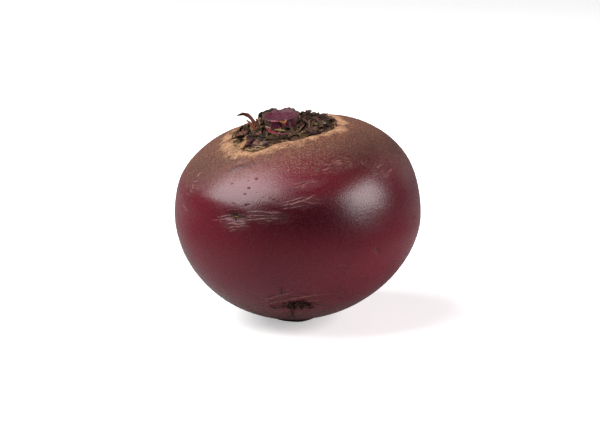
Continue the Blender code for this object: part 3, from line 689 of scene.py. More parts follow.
def skin():
    """The root's skin, with its creases, scars, specks and corky shoulder."""
    creases = list(CREASES) + drawn_creases()
    specks = list(SPECKS) + drawn_specks()
    shape = bmesh.new()
    bmesh.ops.create_uvsphere(shape, u_segments=SKIN_SIDES, v_segments=SKIN_RINGS, radius=1.0)
    edges = list(shape.edges)
    middles = np.array([(edge.verts[0].co + edge.verts[1].co)[:] for edge in edges])
    polar, azimuth = polar_azimuth(middles)
    marked = crease_fields(polar, azimuth, creases)[0] < MARK_MARGIN
    for mark_polar, mark_azimuth, radius, _ in specks:
        marked |= np.hypot(*off_middle(polar, azimuth, mark_polar, mark_azimuth)) < radius + SPECK_MARGIN
    for scar in SCARS:
        marked |= scar_offset(polar, azimuth, scar) < SCAR_MARGIN
    chosen = [edges[i] for i in np.flatnonzero(marked)]
    bmesh.ops.subdivide_edges(shape, edges=chosen, cuts=MARK_CUTS, use_grid_fill=True)
    bmesh.ops.triangulate(shape, faces=[face for face in shape.faces if len(face.verts) > 4])
    mesh = mesh_from("beet_skin", shape)

    polar, azimuth = polar_azimuth(places_of(mesh))
    _, lift, tint = crease_fields(polar, azimuth, creases)
    plain = on_skin(polar, azimuth, 0.0)
    radius = outline(polar)[0]
    outside = radius - eased_table(azimuth, COLLAR_REACH)
    on_top = polar < math.pi / 2.0

    # The shoulder: ripples that run round the crown, and corky lumps between them
    warp = waves(plain, 9.0, 5) * 1.4
    window = np.where(on_top, smooth((outside + 1.0) / 1.5) * (1.0 - smooth((outside - 1.0) / 8.0)), 0.0)
    ripples = 0.13 * window * np.sin(TURN * (outside + warp * 0.5) / RIPPLE)
    lumps = waves(plain, 2.6, 6) * 0.07 * window
    swell = 0.05 * waves(plain, 19.0, 7) + 0.007 * waves(plain, 6.0, 8)

    # Scars are torn inside, with a low lip, and specks are small dents
    torn = np.zeros(len(polar))
    scarred = np.zeros(len(polar))
    for i, scar in enumerate(SCARS):
        offset = scar_offset(polar, azimuth, scar)
        inside = bump(offset / 0.8)
        torn += inside * 0.12 * waves(plain, 1.5, 20 + i)
        scarred = np.maximum(scarred, 0.95 * bump(offset / 0.72))
    for mark_polar, mark_azimuth, size, strength in specks:
        across, down = off_middle(polar, azimuth, mark_polar, mark_azimuth)
        spot = strength * bump(np.hypot(across, down) / size)
        torn -= 0.10 * spot
        scarred = np.maximum(scarred, spot)

    out = body_relief(polar, azimuth) + lift + ripples + lumps + swell + torn
    places = on_skin(polar, azimuth, out)

    # Below the neck the ball's last rings become the taproot's stub, with a flat cut face
    neck = math.pi - math.asin((STUB_NECK / EQUATOR_RADIUS) ** (FULLNESS_BELOW / 2.0))
    share = (polar - neck) / (math.pi - neck)
    bottom = -DEPTH_BELOW - STUB_DROP
    stops = (0.0, 0.10, 0.18, 0.36, 0.44, 1.0)
    wide = (STUB_NECK, STUB_RADIUS + 0.35, STUB_RADIUS, STUB_RADIUS, STUB_RADIUS - STUB_EDGE, 0.0)
    neck_height = float(outline(neck)[1])
    deep = (neck_height, neck_height - 0.12, neck_height - 0.3, bottom + STUB_EDGE, bottom, bottom)
    uneven = 1.0 + 0.05 * np.cos(2.0 * azimuth + 0.6) + 0.02 * np.cos(5.0 * azimuth)
    side = bump((share - 0.25) / 0.16)
    around_stub = np.column_stack((np.cos(azimuth), np.sin(azimuth), share)) * 7.0
    crumbs = 1.0 + 0.03 * side * waves(around_stub, 2.6, 31)
    stub_radius = np.interp(share, stops, wide) * uneven * crumbs
    stub = np.column_stack(
        (stub_radius * np.cos(azimuth), stub_radius * np.sin(azimuth), np.interp(share, stops, deep))
    )
    on_stub = share > 0.0
    places[on_stub] = stub[on_stub]
    placed(mesh, settled(places))
    mesh.shade_smooth()

    # What the finish reads: where the skin is cork, tan rim, crease with its painted light and shade, in
    # painted shade on the shoulder, wrinkled, in the deep band that is partly painted shade, scar and cut
    reach = np.radians(eased_table(azimuth, SHOULDER_REACH))
    cork = 1.0 - smooth((polar - reach) / math.radians(SHOULDER_FADE) + 0.36)
    with_field(mesh, "cork", cork)
    rim = np.where(on_top, bump((outside - 0.6) / 3.0), 0.0)
    with_field(mesh, "rim", rim * smooth((outside + 4.0) / 4.0))
    with_field(mesh, "crease", tint)
    # The deep band's azimuths: painted shade, strongest at the front between the two highlights, and the
    # beet's own deeper tone
    around = sum(
        much * bump(angle_between(azimuth, math.radians(place)) / 0.5) for place, much in SHADED_DEEP_PLACES
    )
    with_field(mesh, "outside", np.where(on_top, outside, 99.0))
    # Painted shade on the shoulder, strongest at the right
    shade = np.zeros(len(polar))
    for mark_polar, mark_azimuth, half_height, half_width, share_there in PAINTED_SHADE_PLACES:
        low = bump((np.degrees(polar) - mark_polar) / half_height)
        across = bump(np.degrees(angle_between(azimuth, math.radians(mark_azimuth))) / half_width)
        shade = np.maximum(shade, share_there * low * across)
    with_field(mesh, "painted_shade", shade)
    wrinkled = np.zeros(len(polar))
    for row in WRINKLED:
        across, down = off_middle(polar, azimuth, row[0], row[1])
        wrinkled = np.maximum(wrinkled, row[4] * bump((across / row[2]) ** 2 + (down / row[3]) ** 2))
    with_field(mesh, "wrinkle", wrinkled)
    # The deep band: the beet's own deeper tone, and painted shade strongest at the front between the two
    # highlights
    middle, half_height = np.radians(SHADED_DEEP_BAND)
    band = bump((polar - middle) / half_height)
    with_field(mesh, "deep", band * np.minimum(around, 1.0))
    with_field(mesh, "scar", np.maximum(scarred, smooth((share + 0.2) / 0.3) * (share < 0.5)))
    with_field(mesh, "under", smooth((np.degrees(polar) - 112.0) / 45.0))
    with_field(mesh, "cut", smooth((share - 0.40) / 0.06))
    return piece_of("beet_skin", mesh, skin_finish(), "beet_skin", "root")


def stump_share(azimuth):
    return 1.0 + 0.05 * np.cos(2.0 * azimuth + 0.9) + 0.035 * np.cos(5.0 * azimuth + 2.0)


def stump():
    """The cut stalks: a wavy drum with a dished fibrous face, a crusty rim behind and a notch in front."""
    top = STUMP_HEIGHT
    profile = [(0.0, top - STUMP_DISH)]
    ways = np.linspace(0.08, 0.97, 18)
    profile += [(STUMP_TOP_RADIUS * r, top - STUMP_DISH * (1.0 - r**2.4)) for r in ways]
    profile += [(STUMP_TOP_RADIUS + 0.02, top - 0.12), (STUMP_TOP_RADIUS + 0.08, top - 0.35)]
    ways = np.linspace(0.0, 1.0, 12)
    profile += [(STUMP_TOP_RADIUS + 0.1 + 0.7 * s, top - 0.6 - (top - 1.2) * s) for s in ways]
    profile += [(STUMP_BASE_RADIUS - 0.3, CLEARANCE), (0.0, CLEARANCE)]
    shape = bmesh.new()
    line = [shape.verts.new((radius, 0.0, height)) for radius, height in profile]
    edges = [shape.edges.new(pair) for pair in zip(line, line[1:])]
    whole = {"axis": (0, 0, 1), "cent": (0, 0, 0), "steps": STUMP_SIDES, "angle": TURN, "use_merge": True}
    bmesh.ops.spin(shape, geom=line + edges, **whole)
    bmesh.ops.remove_doubles(shape, verts=shape.verts, dist=0.001)
    bmesh.ops.recalc_face_normals(shape, faces=shape.faces)
    mesh = mesh_from("cut_stump", shape)

    x, y, z = places_of(mesh).T
    azimuth, radius = np.arctan2(y, x), np.hypot(x, y)
    share = z / STUMP_HEIGHT
    notch = bump(angle_between(azimuth, NOTCH_AZIMUTH) / NOTCH_WIDTH) * smooth(share * 1.6 - 0.4)
    at_rim = smooth(radius / STUMP_TOP_RADIUS * 4.0 - 2.6)
    ring = np.column_stack((np.cos(azimuth), np.sin(azimuth), np.zeros(len(azimuth)))) * STUMP_TOP_RADIUS
    ragged = waves(ring, 2.2, 51)
    fine = waves(ring, 0.9, 52)
    behind = smooth(0.5 + 0.9 * np.sin(azimuth - 0.25)) * (0.82 + 0.18 * np.cos(7.0 * azimuth))
    wall = smooth((top - 0.2 - z) / 0.6) * smooth(radius - 3.0)
    ribs = waves(ring, 0.8, 53) * 0.12 * wall
    radius_out = radius * stump_share(azimuth) - NOTCH_DEPTH * notch * at_rim
    radius_out += at_rim * (0.10 * ragged + 0.08 * fine) + ribs
    on_top = smooth((z - top + 1.0) / 0.5)
    rise = z + (STUMP_KNOB * behind - NOTCH_DROP * notch) * at_rim * smooth(share * 2.0 - 1.0)
    rise += on_top * at_rim * (0.16 * ragged + 0.10 * fine) * (0.35 + behind)
    face = np.column_stack((radius * np.cos(azimuth), radius * np.sin(azimuth), np.zeros(len(azimuth))))
    rise += on_top * (1.0 - at_rim) * (0.07 * waves(face, 1.5, 54) + 0.05 * waves(face, 0.7, 55))
    x = STUMP_MIDDLE[0] + radius_out * np.cos(azimuth)
    y = STUMP_MIDDLE[1] + radius_out * np.sin(azimuth)
    placed(mesh, settled(np.column_stack((x, y, crown_height(x, y) + rise))))
    mesh.shade_smooth()
    front = bump(angle_between(azimuth, math.radians(-85)) / 1.35)
    edge = bump((radius - STUMP_TOP_RADIUS) / 0.30) * smooth((z - top + 0.5) / 0.3)
    inside = smooth((STUMP_TOP_RADIUS + 0.1 - radius) / 0.2)
    with_field(mesh, "cut", smooth((z - top + 0.75) / 0.3) * inside)
    with_field(mesh, "lip", edge * bump(angle_between(azimuth, math.radians(-122)) / 0.55))
    outer = smooth((radius - STUMP_TOP_RADIUS * 0.82) / 0.7)
    with_field(mesh, "crust", outer * (1.0 - front) * 1.5)
    return piece_of("cut_stump", mesh, stalk_finish(), "cut_stalk", "crown_stump")


def template(levels):
    """A closed six-sided strip from z = 0 to 1, of radius 1, that every shred and hair is bent from."""
    shape = bmesh.new()
    bmesh.ops.create_cone(shape, cap_ends=True, segments=6, radius1=1.0, radius2=1.0, depth=1.0)
    bmesh.ops.translate(shape, verts=shape.verts, vec=(0.0, 0.0, 0.5))
    upright = [edge for edge in shape.edges if abs(edge.verts[0].co.z - edge.verts[1].co.z) > 0.5]
    bmesh.ops.subdivide_edges(shape, edges=upright, cuts=levels - 2)
    return mesh_from("strip", shape)


def along_route(points, shares):
    """Places on the smooth curve through a few points."""
    points = np.asarray(points, float)
    padded = np.vstack((2.0 * points[0] - points[1], points, 2.0 * points[-1] - points[-2]))
    at = np.clip(shares, 0.0, 1.0) * (len(points) - 1)
    i = np.minimum(at.astype(int), len(points) - 2)
    t = (at - i)[:, None]
    a, b, c, d = (padded[i + k] for k in range(4))
    square, cube = 2.0 * a - 5.0 * b + 4.0 * c - d, 3.0 * (b - c) + d - a
    return 0.5 * (2.0 * b + (c - a) * t + square * t**2 + cube * t**3)


def bent(strip, points, half_widths, thickness, cup=0.0, roll=0.0, crumple=0.0, seed=0):
    """The template's vertices along a route, with half widths evenly along it. Cup curls its sides up."""
    x, y, z = strip.T
    middle = along_route(points, z)
    along = along_route(points, z + 0.02) - along_route(points, z - 0.02)
    ends = along_route(points, np.array([0.0, 1.0]))
    along = np.where(np.linalg.norm(along, axis=1)[:, None] < 1e-6, ends[1] - ends[0], along)
    along /= np.linalg.norm(along, axis=1)[:, None]
    up = np.array([0.15, -0.1, 1.0])
    across = np.cross(along, up)
    across /= np.linalg.norm(across, axis=1)[:, None]
    over = np.cross(along, across)
    turn = np.broadcast_to(roll, len(z))[:, None]
    across, over = across * np.cos(turn) + over * np.sin(turn), over * np.cos(turn) - across * np.sin(turn)
    wide = np.interp(z, np.linspace(0.0, 1.0, len(half_widths)), half_widths)[:, None]
    thick = thickness / 2.0 * np.minimum(1.0, 0.4 + wide / max(half_widths))
    out = y[:, None] * thick - cup * wide * (x[:, None] ** 2 - 0.4)
    places = middle + across * x[:, None] * wide + over * out
    if crumple:
        draw = np.random.default_rng(seed)
        places += draw.normal(scale=crumple, size=places.shape)
    return places


def shaped(strip, rows, place, crumple):
    """Strips from rows of a route's stops, half widths, thickness, cup, roll and colour."""
    made = []
    for seed, (route, *figures, colour) in enumerate(rows):
        points = [place(*stop) for stop in route]
        made.append((settled(bent(strip, points, *figures, crumple, seed)), colour))
    return made


def gathered(name, template_mesh, strips, material, slot, *stands_for):
    """One piece of many strips: (places, colour) for each."""
    shape = bmesh.new()
    for _ in strips:
        shape.from_mesh(template_mesh)
    mesh = mesh_from(name, shape)
    placed(mesh, np.concatenate([places for places, _ in strips]))
    mesh.shade_smooth()
    mesh.set_sharp_from_angle(angle=math.radians(50))
    height = places_of(template_mesh)[:, 2]
    tints = mesh.attributes.new("tint", "FLOAT_COLOR", "POINT")
    colours = np.repeat(np.array([linear(colour) for _, colour in strips]), len(height), axis=0)
    tints.data.foreach_set("color", colours.astype(np.float32).ravel())
    with_field(mesh, "tip", np.tile(height, len(strips)))
    return piece_of(name, mesh, material, slot, *stands_for)


def over_crown(radius, degrees, rise):
    """The place this far above the skin of the crown, on the straight body."""
    x, y = radius * math.cos(math.radians(degrees)), radius * math.sin(math.radians(degrees))
    return np.array((x, y, float(crown_height(x, y)) + rise))


def collar_place(share, azimuth):
    """Radius and degrees of a place on the ring: share 0 is beside the stump, 1 is the scales' reach."""
    beside = STUMP_BASE_RADIUS * float(stump_share(azimuth)) + 0.1
    reach = float(eased_table(np.array([azimuth]), COLLAR_REACH)[0])
    x = (STUMP_MIDDLE[0] + beside * math.cos(azimuth)) * (1 - share) + reach * math.cos(azimuth) * share
    y = (STUMP_MIDDLE[1] + beside * math.sin(azimuth)) * (1 - share) + reach * math.sin(azimuth) * share
    return math.hypot(x, y), math.degrees(math.atan2(y, x))


def bed_height(share):
    return 1.7 - 1.6 * share**1.3


def crown_bed():
    """The crust that the dried scales are rooted in: a rough low ring, thin at its outer edge."""
    shape = bmesh.new()
    bmesh.ops.create_grid(shape, x_segments=BED_SIDES, y_segments=BED_RINGS, size=1.0)
    mesh = mesh_from("crown_bed", shape)
    x, y, _ = places_of(mesh).T
    azimuth, share = x * math.pi, (y + 1.0) / 2.0
    radius, degrees = np.array([collar_place(s * 1.02 - 0.02, a) for s, a in zip(share, azimuth)]).T
    x, y = radius * np.cos(np.radians(degrees)), radius * np.sin(np.radians(degrees))
    flat = np.column_stack((x, y, np.zeros(len(x))))
    rough = 0.30 * waves(flat, 2.4, 61) + 0.16 * waves(flat, 1.1, 62)
    rise = bed_height(share) + rough * (1.0 - share**4)
    rise -= 0.5 * smooth((share - 0.9) / 0.1)
    placed(mesh, settled(np.column_stack((x, y, crown_height(x, y) + rise))))
    shape = bmesh.new()
    shape.from_mesh(mesh)
    bmesh.ops.remove_doubles(shape, verts=shape.verts, dist=0.02 * MM)
    bmesh.ops.recalc_face_normals(shape, faces=shape.faces)
    if sum(face.normal.z for face in shape.faces) < 0.0:
        bmesh.ops.reverse_faces(shape, faces=shape.faces)
    mesh = mesh_from("crown_bed", shape)
    mesh.shade_smooth()
    return mesh


def named_strips(strip):
    """The shreds that stand out in front: claws at the left, folded strands and the fan at the right, with
    strips of painted shade in the front hollow, a painted highlight and a painted sheen.
    """
    rows = (
        # stops of (radius, degrees, rise), half widths, thickness, cup, roll, colour
        ([(8.2, -172, 1.0), (10.0, 169, 3.2), (11.8, 158, 4.5), (14.2, 154.5, 5.1), (16.3, 158.5, 4.9)],
         (1.6, 1.5, 1.15, 0.8, 0.2), 0.6, 0.4, 1.25, "#5c2c1e"),
        ([(9.2, -166, 1.0), (9.9, -177, 1.9), (11.3, 167, 3.0), (12.9, 162, 3.9)],
         (1.3, 1.1, 0.75, 0.15), 0.6, 0.4, 1.25, "#6b3522"),
        # a salmon strip at the claws' base: a painted highlight
        ([(8.4, -160, 1.2), (8.8, -168, 2.2), (9.6, 178, 3.0)],
         (0.5, 0.45, 0.14), 0.35, 0.3, 1.0, SALMON_HIGHLIGHT),
        ([(7.1, -160, 2.7), (7.6, -133, 2.6), (9.2, -112, 2.2), (10.0, -95, 1.9)],
         (0.3, 0.5, 0.5, 0.25), 0.4, 0.5, 0.9, "#74192b"),
        ([(9.4, -110, 2.2), (10.1, -95, 2.0), (10.8, -80, 1.8), (9.1, -70, 1.8)],
         (0.2, 0.34, 0.34, 0.15), 0.3, 0.4, 0.9, "#6f3441"),
        ([(7.0, -150, 3.0), (7.4, -134, 3.1), (7.4, -121, 2.6)], (0.22, 0.34, 0.14), 0.3, 0.2, 0.9, ASH),
        ([(7.4, -115, 2.5), (7.6, -102, 2.5), (8.0, -89, 2.2)], (0.22, 0.34, 0.2), 0.3, 0.3, 0.9, STRAW),
        ([(8.0, -97, 2.2), (8.6, -102, 2.0), (9.4, -106, 1.6)],
         (0.2, 0.3, 0.15), 0.3, 0.3, 0.5, "#a3885f"),
        ([(8.3, -40, 2.6), (8.8, -50, 2.5), (9.6, -61, 2.0), (10.4, -70, 1.4)],
         (0.35, 0.5, 0.45, 0.2), 0.4, 0.5, 0.9, "#7a5c44"),
        ([(13.4, -168, 0.9), (15.6, -164, 1.6), (18.6, -163.6, 1.0)],
         (1.2, 0.9, 0.15), 0.35, 0.5, 0.5, SOOT),
        ([(14.6, -158, 1.0), (16.2, -156, 1.5), (18.2, -154, 0.8)],
         (0.6, 0.8, 0.3), 0.3, 0.4, 0.3, CRUST),
        ([(11.0, -178, 1.4), (12.0, 177, 2.0), (13.9, 168, 2.5)], (1.1, 1.1, 0.2), 0.35, 0.6, 0.8, CRUST),
        ([(11.6, -175, 1.7), (12.6, -170, 1.6), (13.6, -165, 1.1)],
         (0.35, 0.45, 0.15), 0.35, 0.4, 0.6, SOOT),
        ([(15.0, -146, 1.4), (16.6, -141, 1.7), (18.2, -137.5, 1.5), (19.5, -135, 0.9)],
         (0.5, 0.95, 1.0, 0.4), 0.7, -0.3, 0.2, TAN),
        ([(13.4, -136, 2.0), (15.2, -136, 2.0), (16.4, -135, 1.6), (17.6, -134.5, 1.1)],
         (0.3, 0.8, 0.75, 0.2), 0.5, 0.9, 0.4, PLUM),
        ([(14.0, -140, 1.7), (15.8, -138, 1.8), (17.6, -136, 1.3)],
         (0.2, 0.35, 0.15), 0.3, 0.3, 0.5, "#7c4a40"),
        ([(13.0, -131, 1.4), (14.8, -129, 1.5), (16.6, -128, 0.8)],
         (0.6, 1.1, 0.4), 0.4, -0.25, 0.1, "#6d4a45"),
        ([(14.6, -126, 1.2), (15.8, -124, 1.3), (17.2, -123, 0.7)],
         (0.4, 0.8, 0.3), 0.4, -0.2, 0.2, "#7d5d55"),
        # a grey-violet strip below the dark hollow: a painted sheen
        ([(12.4, -124, 1.0), (13.4, -119, 1.3), (14.2, -114, 0.9)],
         (0.3, 0.55, 0.2), 0.4, -0.2, 0.5, "#5f505a"),
        # the dark hollow in front: two near-black strips of painted shade
        ([(9.0, -140, 1.6), (10.4, -131, 1.7), (12.2, -124, 1.3)],
         (0.9, 1.4, 0.8), 0.4, 0.5, 0.2, "#120d0b"),
        ([(10.6, -122, 1.4), (11.4, -112, 1.4), (11.8, -102, 1.0)], (0.5, 1.0, 0.6), 0.4, 0.4, 0.3, SOOT),
        ([(8.6, -128, 2.2), (10.2, -124, 1.9), (12.0, -118, 1.3)],
         (0.25, 0.4, 0.2), 0.3, 0.3, 0.9, "#4f4a2c"),
        ([(16.2, -124, 0.7), (17.4, -118, 1.1), (18.0, -112, 0.6)],
         (0.18, 0.26, 0.1), 0.25, 0.3, 0.6, STRAW),
        ([(18.4, -134, 0.5), (19.2, -128, 0.9), (19.2, -122, 0.4)],
         (0.18, 0.28, 0.1), 0.25, 0.3, 0.6, STRAW),
        ([(11.0, -44, 1.6), (12.6, -50, 2.0), (14.2, -52, 1.2), (14.2, -46, 1.0)],
         (0.3, 0.6, 0.6, 0.3), 0.45, 0.7, 0.7, "#3a2620"),
        ([(12.2, -40, 1.8), (13.4, -45, 2.1), (14.6, -47, 1.1)],
         (0.6, 1.2, 0.5), 0.6, -0.3, 0.3, "#4f352c"),
        ([(10.2, -38, 2.0), (11.6, -37, 3.0), (12.8, -34, 2.7)], (0.4, 0.8, 0.3), 0.4, 0.6, 0.6, OLIVE),
        ([(11.4, -22, 1.8), (12.7, -21, 2.5), (14.0, -20, 2.1)],
         (0.4, 0.7, 0.3), 0.4, 0.6, 0.6, "#76704e"),
        ([(12.8, -19, 1.3), (14.4, -18, 1.7), (16.2, -17, 1.1)], (0.8, 0.8, 0.2), 0.35, 0.6, 0.5, SOOT),
        ([(15.0, -42, 0.8), (16.0, -40, 0.8), (16.4, -34, 0.5)], (0.2, 0.35, 0.12), 0.3, 0.3, 0.3, SOOT),
        ([(10.0, -12, 1.8), (10.6, -26, 3.4), (11.8, -40, 3.0), (12.6, -50, 1.6)],
         (0.3, 0.5, 0.45, 0.2), 0.4, 0.8, 0.8, "#452a20"),
        ([(8.2, -22, 2.6), (9.4, -32, 3.6), (11.0, -42, 2.9), (12.8, -54, 1.2)],
         (0.3, 0.45, 0.45, 0.2), 0.4, 0.8, 0.9, "#5a3a2c"),
        ([(8.4, -10, 2.8), (10.4, -14, 3.8), (12.6, -24, 2.6), (14.2, -30, 1.0)],
         (0.3, 0.5, 0.45, 0.2), 0.4, 0.8, 0.7, "#43291f"),
        ([(9.4, 34, 1.4), (9.4, 38, 2.9), (9.8, 42, 3.7)], (1.0, 1.2, 0.5), 0.8, 0.5, 0.6, CRUST),
        ([(10.4, 40, 1.4), (11.0, 44, 2.8), (11.6, 40, 3.1)], (0.8, 0.9, 0.3), 0.6, 0.5, 0.7, UMBER),
        ([(11.8, 12, 1.3), (12.6, 13, 2.4), (13.2, 11, 3.0)], (1.1, 1.2, 0.4), 0.8, 0.5, 0.6, CRUST),
        ([(13.4, 6, 1.2), (14.4, 4, 2.0), (15.6, 1, 1.5)], (0.7, 0.8, 0.2), 0.5, 0.5, 0.5, UMBER),
    )
    return shaped(strip, rows, over_crown, 0.03)


def drawn_strips(strip):
    """The rest of the dried tissue, by kinds, from broad flakes to the fine fibres between them."""
    draw = random.Random(77)
    # the near-black SOOT strips are partly painted shade in the gaps between the scales
    by_zone = {
        "left": (CRUST, UMBER, BROWN, SOOT, TAN, SOOT, RUSSET, STRAW, CRUST),
        "front": (CRUST, SOOT, SOOT, UMBER, MOSS, STRAW, BROWN, OLIVE),
        "right": (CRUST, UMBER, CRUST, "#4e2f24", SOOT, "#3d2a2e", "#5c4032", UMBER),
        "back": (CRUST, UMBER, BROWN, SOOT, TAN, RUSSET),
    }

    def zone(degrees):
        degrees = (degrees + 180.0) % 360.0 - 180.0
        if degrees < -125:
            return "left"
        if degrees < -65:
            return "front"
        return "right" if degrees < 45 else "back"

    # kind: how many, half width, length along the ring, rise at the tip, thickness, cup, share of the way
    # from the stump to the ring's edge, and length outward
    kinds = (
        ("flake", 150, (0.5, 1.15), (1.2, 3.6), (0.1, 1.1), 0.30, 0.6, (0.0, 0.95), (-1.0, 1.6)),
        ("upright", 60, (0.5, 1.0), (-0.8, 0.8), (1.6, 3.4), 0.32, 0.8, (0.0, 0.12), (0.2, 1.6)),
        ("strand", 150, (0.16, 0.40), (3.0, 8.0), (0.2, 1.2), 0.28, 0.3, (0.10, 0.85), (-1.2, 1.2)),
        ("fan", 96, (0.25, 0.6), (-1.0, 1.0), (0.6, 2.0), 0.30, 0.7, (0.04, 0.35), (2.5, 6.5)),
        ("curl", 110, (0.12, 0.30), (1.6, 4.2), (0.0, 0.5), 0.24, 0.3, (0.80, 1.0), (-0.7, 0.7)),
        ("fibre", 110, (0.06, 0.10), (1.5, 4.5), (0.5, 1.5), 0.14, 0.0, (0.05, 0.9), (-1.0, 1.8)),
        ("drape", 84, (0.24, 0.46), (0.0, 2.4), (0.9, 2.4), 0.30, 1.0, (0.0, 0.2), (4.0, 8.0)),
    )
    made = []
    for own, (kind, count, widths, around, lift, thickness, cup, *_) in enumerate(kinds):
        for _ in range(count):
            at_right = kind in ("fan", "drape")
            azimuth = math.radians(draw.gauss(-26, 32) if at_right else draw.uniform(-180, 180))
            # Every kind's share and length are drawn for each strip, and its own kind's are kept
            share = [draw.uniform(*row[-2]) for row in kinds][own]
            length = draw.uniform(*around)
            rise = draw.uniform(*lift)
            if -150.0 < math.degrees(azimuth) < -35.0 and share < 0.5:
                rise *= 0.55 if kind == "upright" else 0.35
            outward = [draw.uniform(*row[-1]) for row in kinds][own]
            sign = draw.choice((-1.0, 1.0))
            radius, degrees = collar_place(share, azimuth)
            base = bed_height(share) - 0.25
            points = []
            swing = draw.uniform(-0.8, 0.8)
            for s in np.linspace(0.0, 1.0, 4):
                out = radius + outward * s
                along = sign * (length * s + swing * math.sin(math.pi * s) * 0.5)
                turn = degrees + math.degrees(along / radius)
                reach = float(eased_table(np.array([math.radians(turn)]), COLLAR_REACH)[0])
                here = min(max((out - 7.0) / max(reach - 7.0, 1.0), 0.0), 1.0)
                ground = bed_height(here) - 0.1 if kind != "upright" else base
                arch = math.sin(math.pi * s) if kind in ("strand", "curl", "flake") else s**0.8
                if kind == "drape":
                    arch = 1.0 - 0.85 * s
                out = min(out, reach - 0.4)
                points.append(over_crown(out, turn, max(ground, 0.1) + rise * arch))
            half = draw.uniform(*widths)
            tip = draw.uniform(0.1, 0.5)
            half_widths = (half * draw.uniform(0.5, 1.0), half, half * draw.uniform(0.7, 1.1), half * tip)
            roll = draw.uniform(-0.9, 0.9)
            if kind == "upright":
                roll = np.interp(strip[:, 2], (0, 1), (0.0, draw.uniform(-0.6, 0.6)))
            crumple = 0.07 if kind in ("flake", "upright") else 0.02
            places = bent(strip, points, half_widths, thickness, cup, roll, crumple, draw.randrange(10**6))
            colours = by_zone[zone(degrees)]
            colour = draw.choice(colours)
            if kind == "curl" and draw.random() < 0.5:
                colour = draw.choice((STRAW, TAN, OLIVE))
            if kind == "fibre":
                colour = draw.choice((STRAW, BROWN, CRUST, TAN))
            if kind == "drape":
                colour = draw.choice(("#80603f", SOOT, BROWN, SOOT, "#6e4a33", CRUST, UMBER))
            made.append((settled(places), colour))
    return made


def leaf_bases():
    """The ring of dried leaf bases: its crust, and about eight hundred scales and shreds."""
    bed = crown_bed()
    places = places_of(bed)
    flat = places / MM
    reach = eased_table(np.arctan2(flat[:, 1], flat[:, 0]), COLLAR_REACH)
    with_field(bed, "outer", smooth((np.hypot(flat[:, 0], flat[:, 1]) / reach - 0.45) / 0.75))
    piece_of("crown_crust", bed, bed_finish(), "dried_leaf_base")
    pattern = template(STRIP_LEVELS)
    strip = places_of(pattern)
    strips = named_strips(strip) + drawn_strips(strip)
    return gathered("leaf_shreds", pattern, strips, husk_finish(), "dried_leaf_base", "leaf_bases")


def stump_shreds():
    """On the stump's front: the tan lips of its notch, a crimson wedge under them and the crusty edge."""
    pattern = template(STRIP_LEVELS)
    strip = places_of(pattern)

    def by_stump(x, y, rise):
        return np.array((x, y, float(crown_height(x, y)) + rise))

    rows = (
        # stops of (x, y, rise), half widths, thickness, cup, roll, colour: the notch is two tan lips that
        # meet in a point, and a crimson wedge hangs from it
        ([(-1.1, -5.2, 4.5), (-0.6, -5.5, 4.2), (0.0, -5.6, 3.7)],
         (0.25, 0.45, 0.2), 0.4, 0.3, 1.2, "#a3683c"),
        ([(0.0, -5.6, 3.7), (0.5, -5.5, 4.2), (0.9, -5.2, 4.7)],
         (0.2, 0.4, 0.2), 0.4, 0.3, 1.2, "#b57a48"),
        ([(-0.1, -5.1, 4.2), (0.1, -5.6, 3.5), (0.3, -5.9, 2.2)],
         (1.0, 0.8, 0.12), 0.5, 0.3, 0.0, "#6b1428"),
        # crust at the left, where the face ends, and a pale torn end of a stalk in it
        ([(-6.4, 1.6, 3.4), (-7.4, 1.6, 4.2), (-8.3, 1.8, 4.5)], (1.3, 1.2, 0.7), 1.0, 0.3, 0.4, CRUST),
        ([(-6.2, 3.2, 3.6), (-7.0, 3.6, 4.8), (-7.4, 4.0, 5.3)], (1.2, 1.0, 0.5), 0.9, 0.3, 0.8, SOOT),
        ([(-7.8, 2.4, 3.6), (-7.3, 3.0, 4.6), (-6.4, 3.7, 5.1)],
         (1.1, 1.4, 1.0), 0.9, 0.3, 1.0, "#2a1c17"),
        ([(-6.3, -0.6, 3.2), (-7.2, -0.8, 3.9), (-8.0, -0.8, 3.9)],
         (1.1, 1.0, 0.5), 0.9, 0.3, 0.4, "#4a3222"),
        ([(-7.0, -0.3, 3.6), (-7.6, -0.6, 4.3), (-7.9, -0.6, 5.0)],
         (0.7, 0.9, 0.7), 0.7, 0.3, 1.1, "#b08468"),
        ([(-6.6, 1.4, 4.0), (-6.2, 3.4, 4.9), (-5.0, 5.0, 5.3)],
         (0.9, 1.1, 0.6), 0.9, 0.3, 0.9, "#2f1f1b"),
        ([(-6.6, -1.4, 3.4), (-7.0, -2.0, 3.9), (-7.0, -2.8, 3.6)], (0.8, 0.9, 0.5), 0.8, 0.3, 0.9, SOOT),
        ([(-6.4, -2.4, 2.6), (-7.0, -3.0, 3.0), (-7.6, -3.4, 2.4)],
         (0.9, 0.9, 0.4), 0.7, 0.3, 0.4, OLIVE),
        ([(-5.4, 4.4, 4.6), (-4.0, 5.6, 5.2), (-2.2, 6.3, 5.2)],
         (0.7, 0.9, 0.4), 0.7, 0.3, 0.9, "#2a1a18"),
        # a small salmon end at the right of the face
        ([(4.8, -1.9, 3.9), (5.0, -2.1, 4.1), (5.1, -2.0, 4.3)],
         (0.2, 0.24, 0.18), 0.3, 0.3, 0.5, "#a2605a"),
    )
    strips = shaped(strip, rows, by_stump, 0.05)
    return gathered("stump_shreds", pattern, strips, husk_finish(), "cut_stalk")


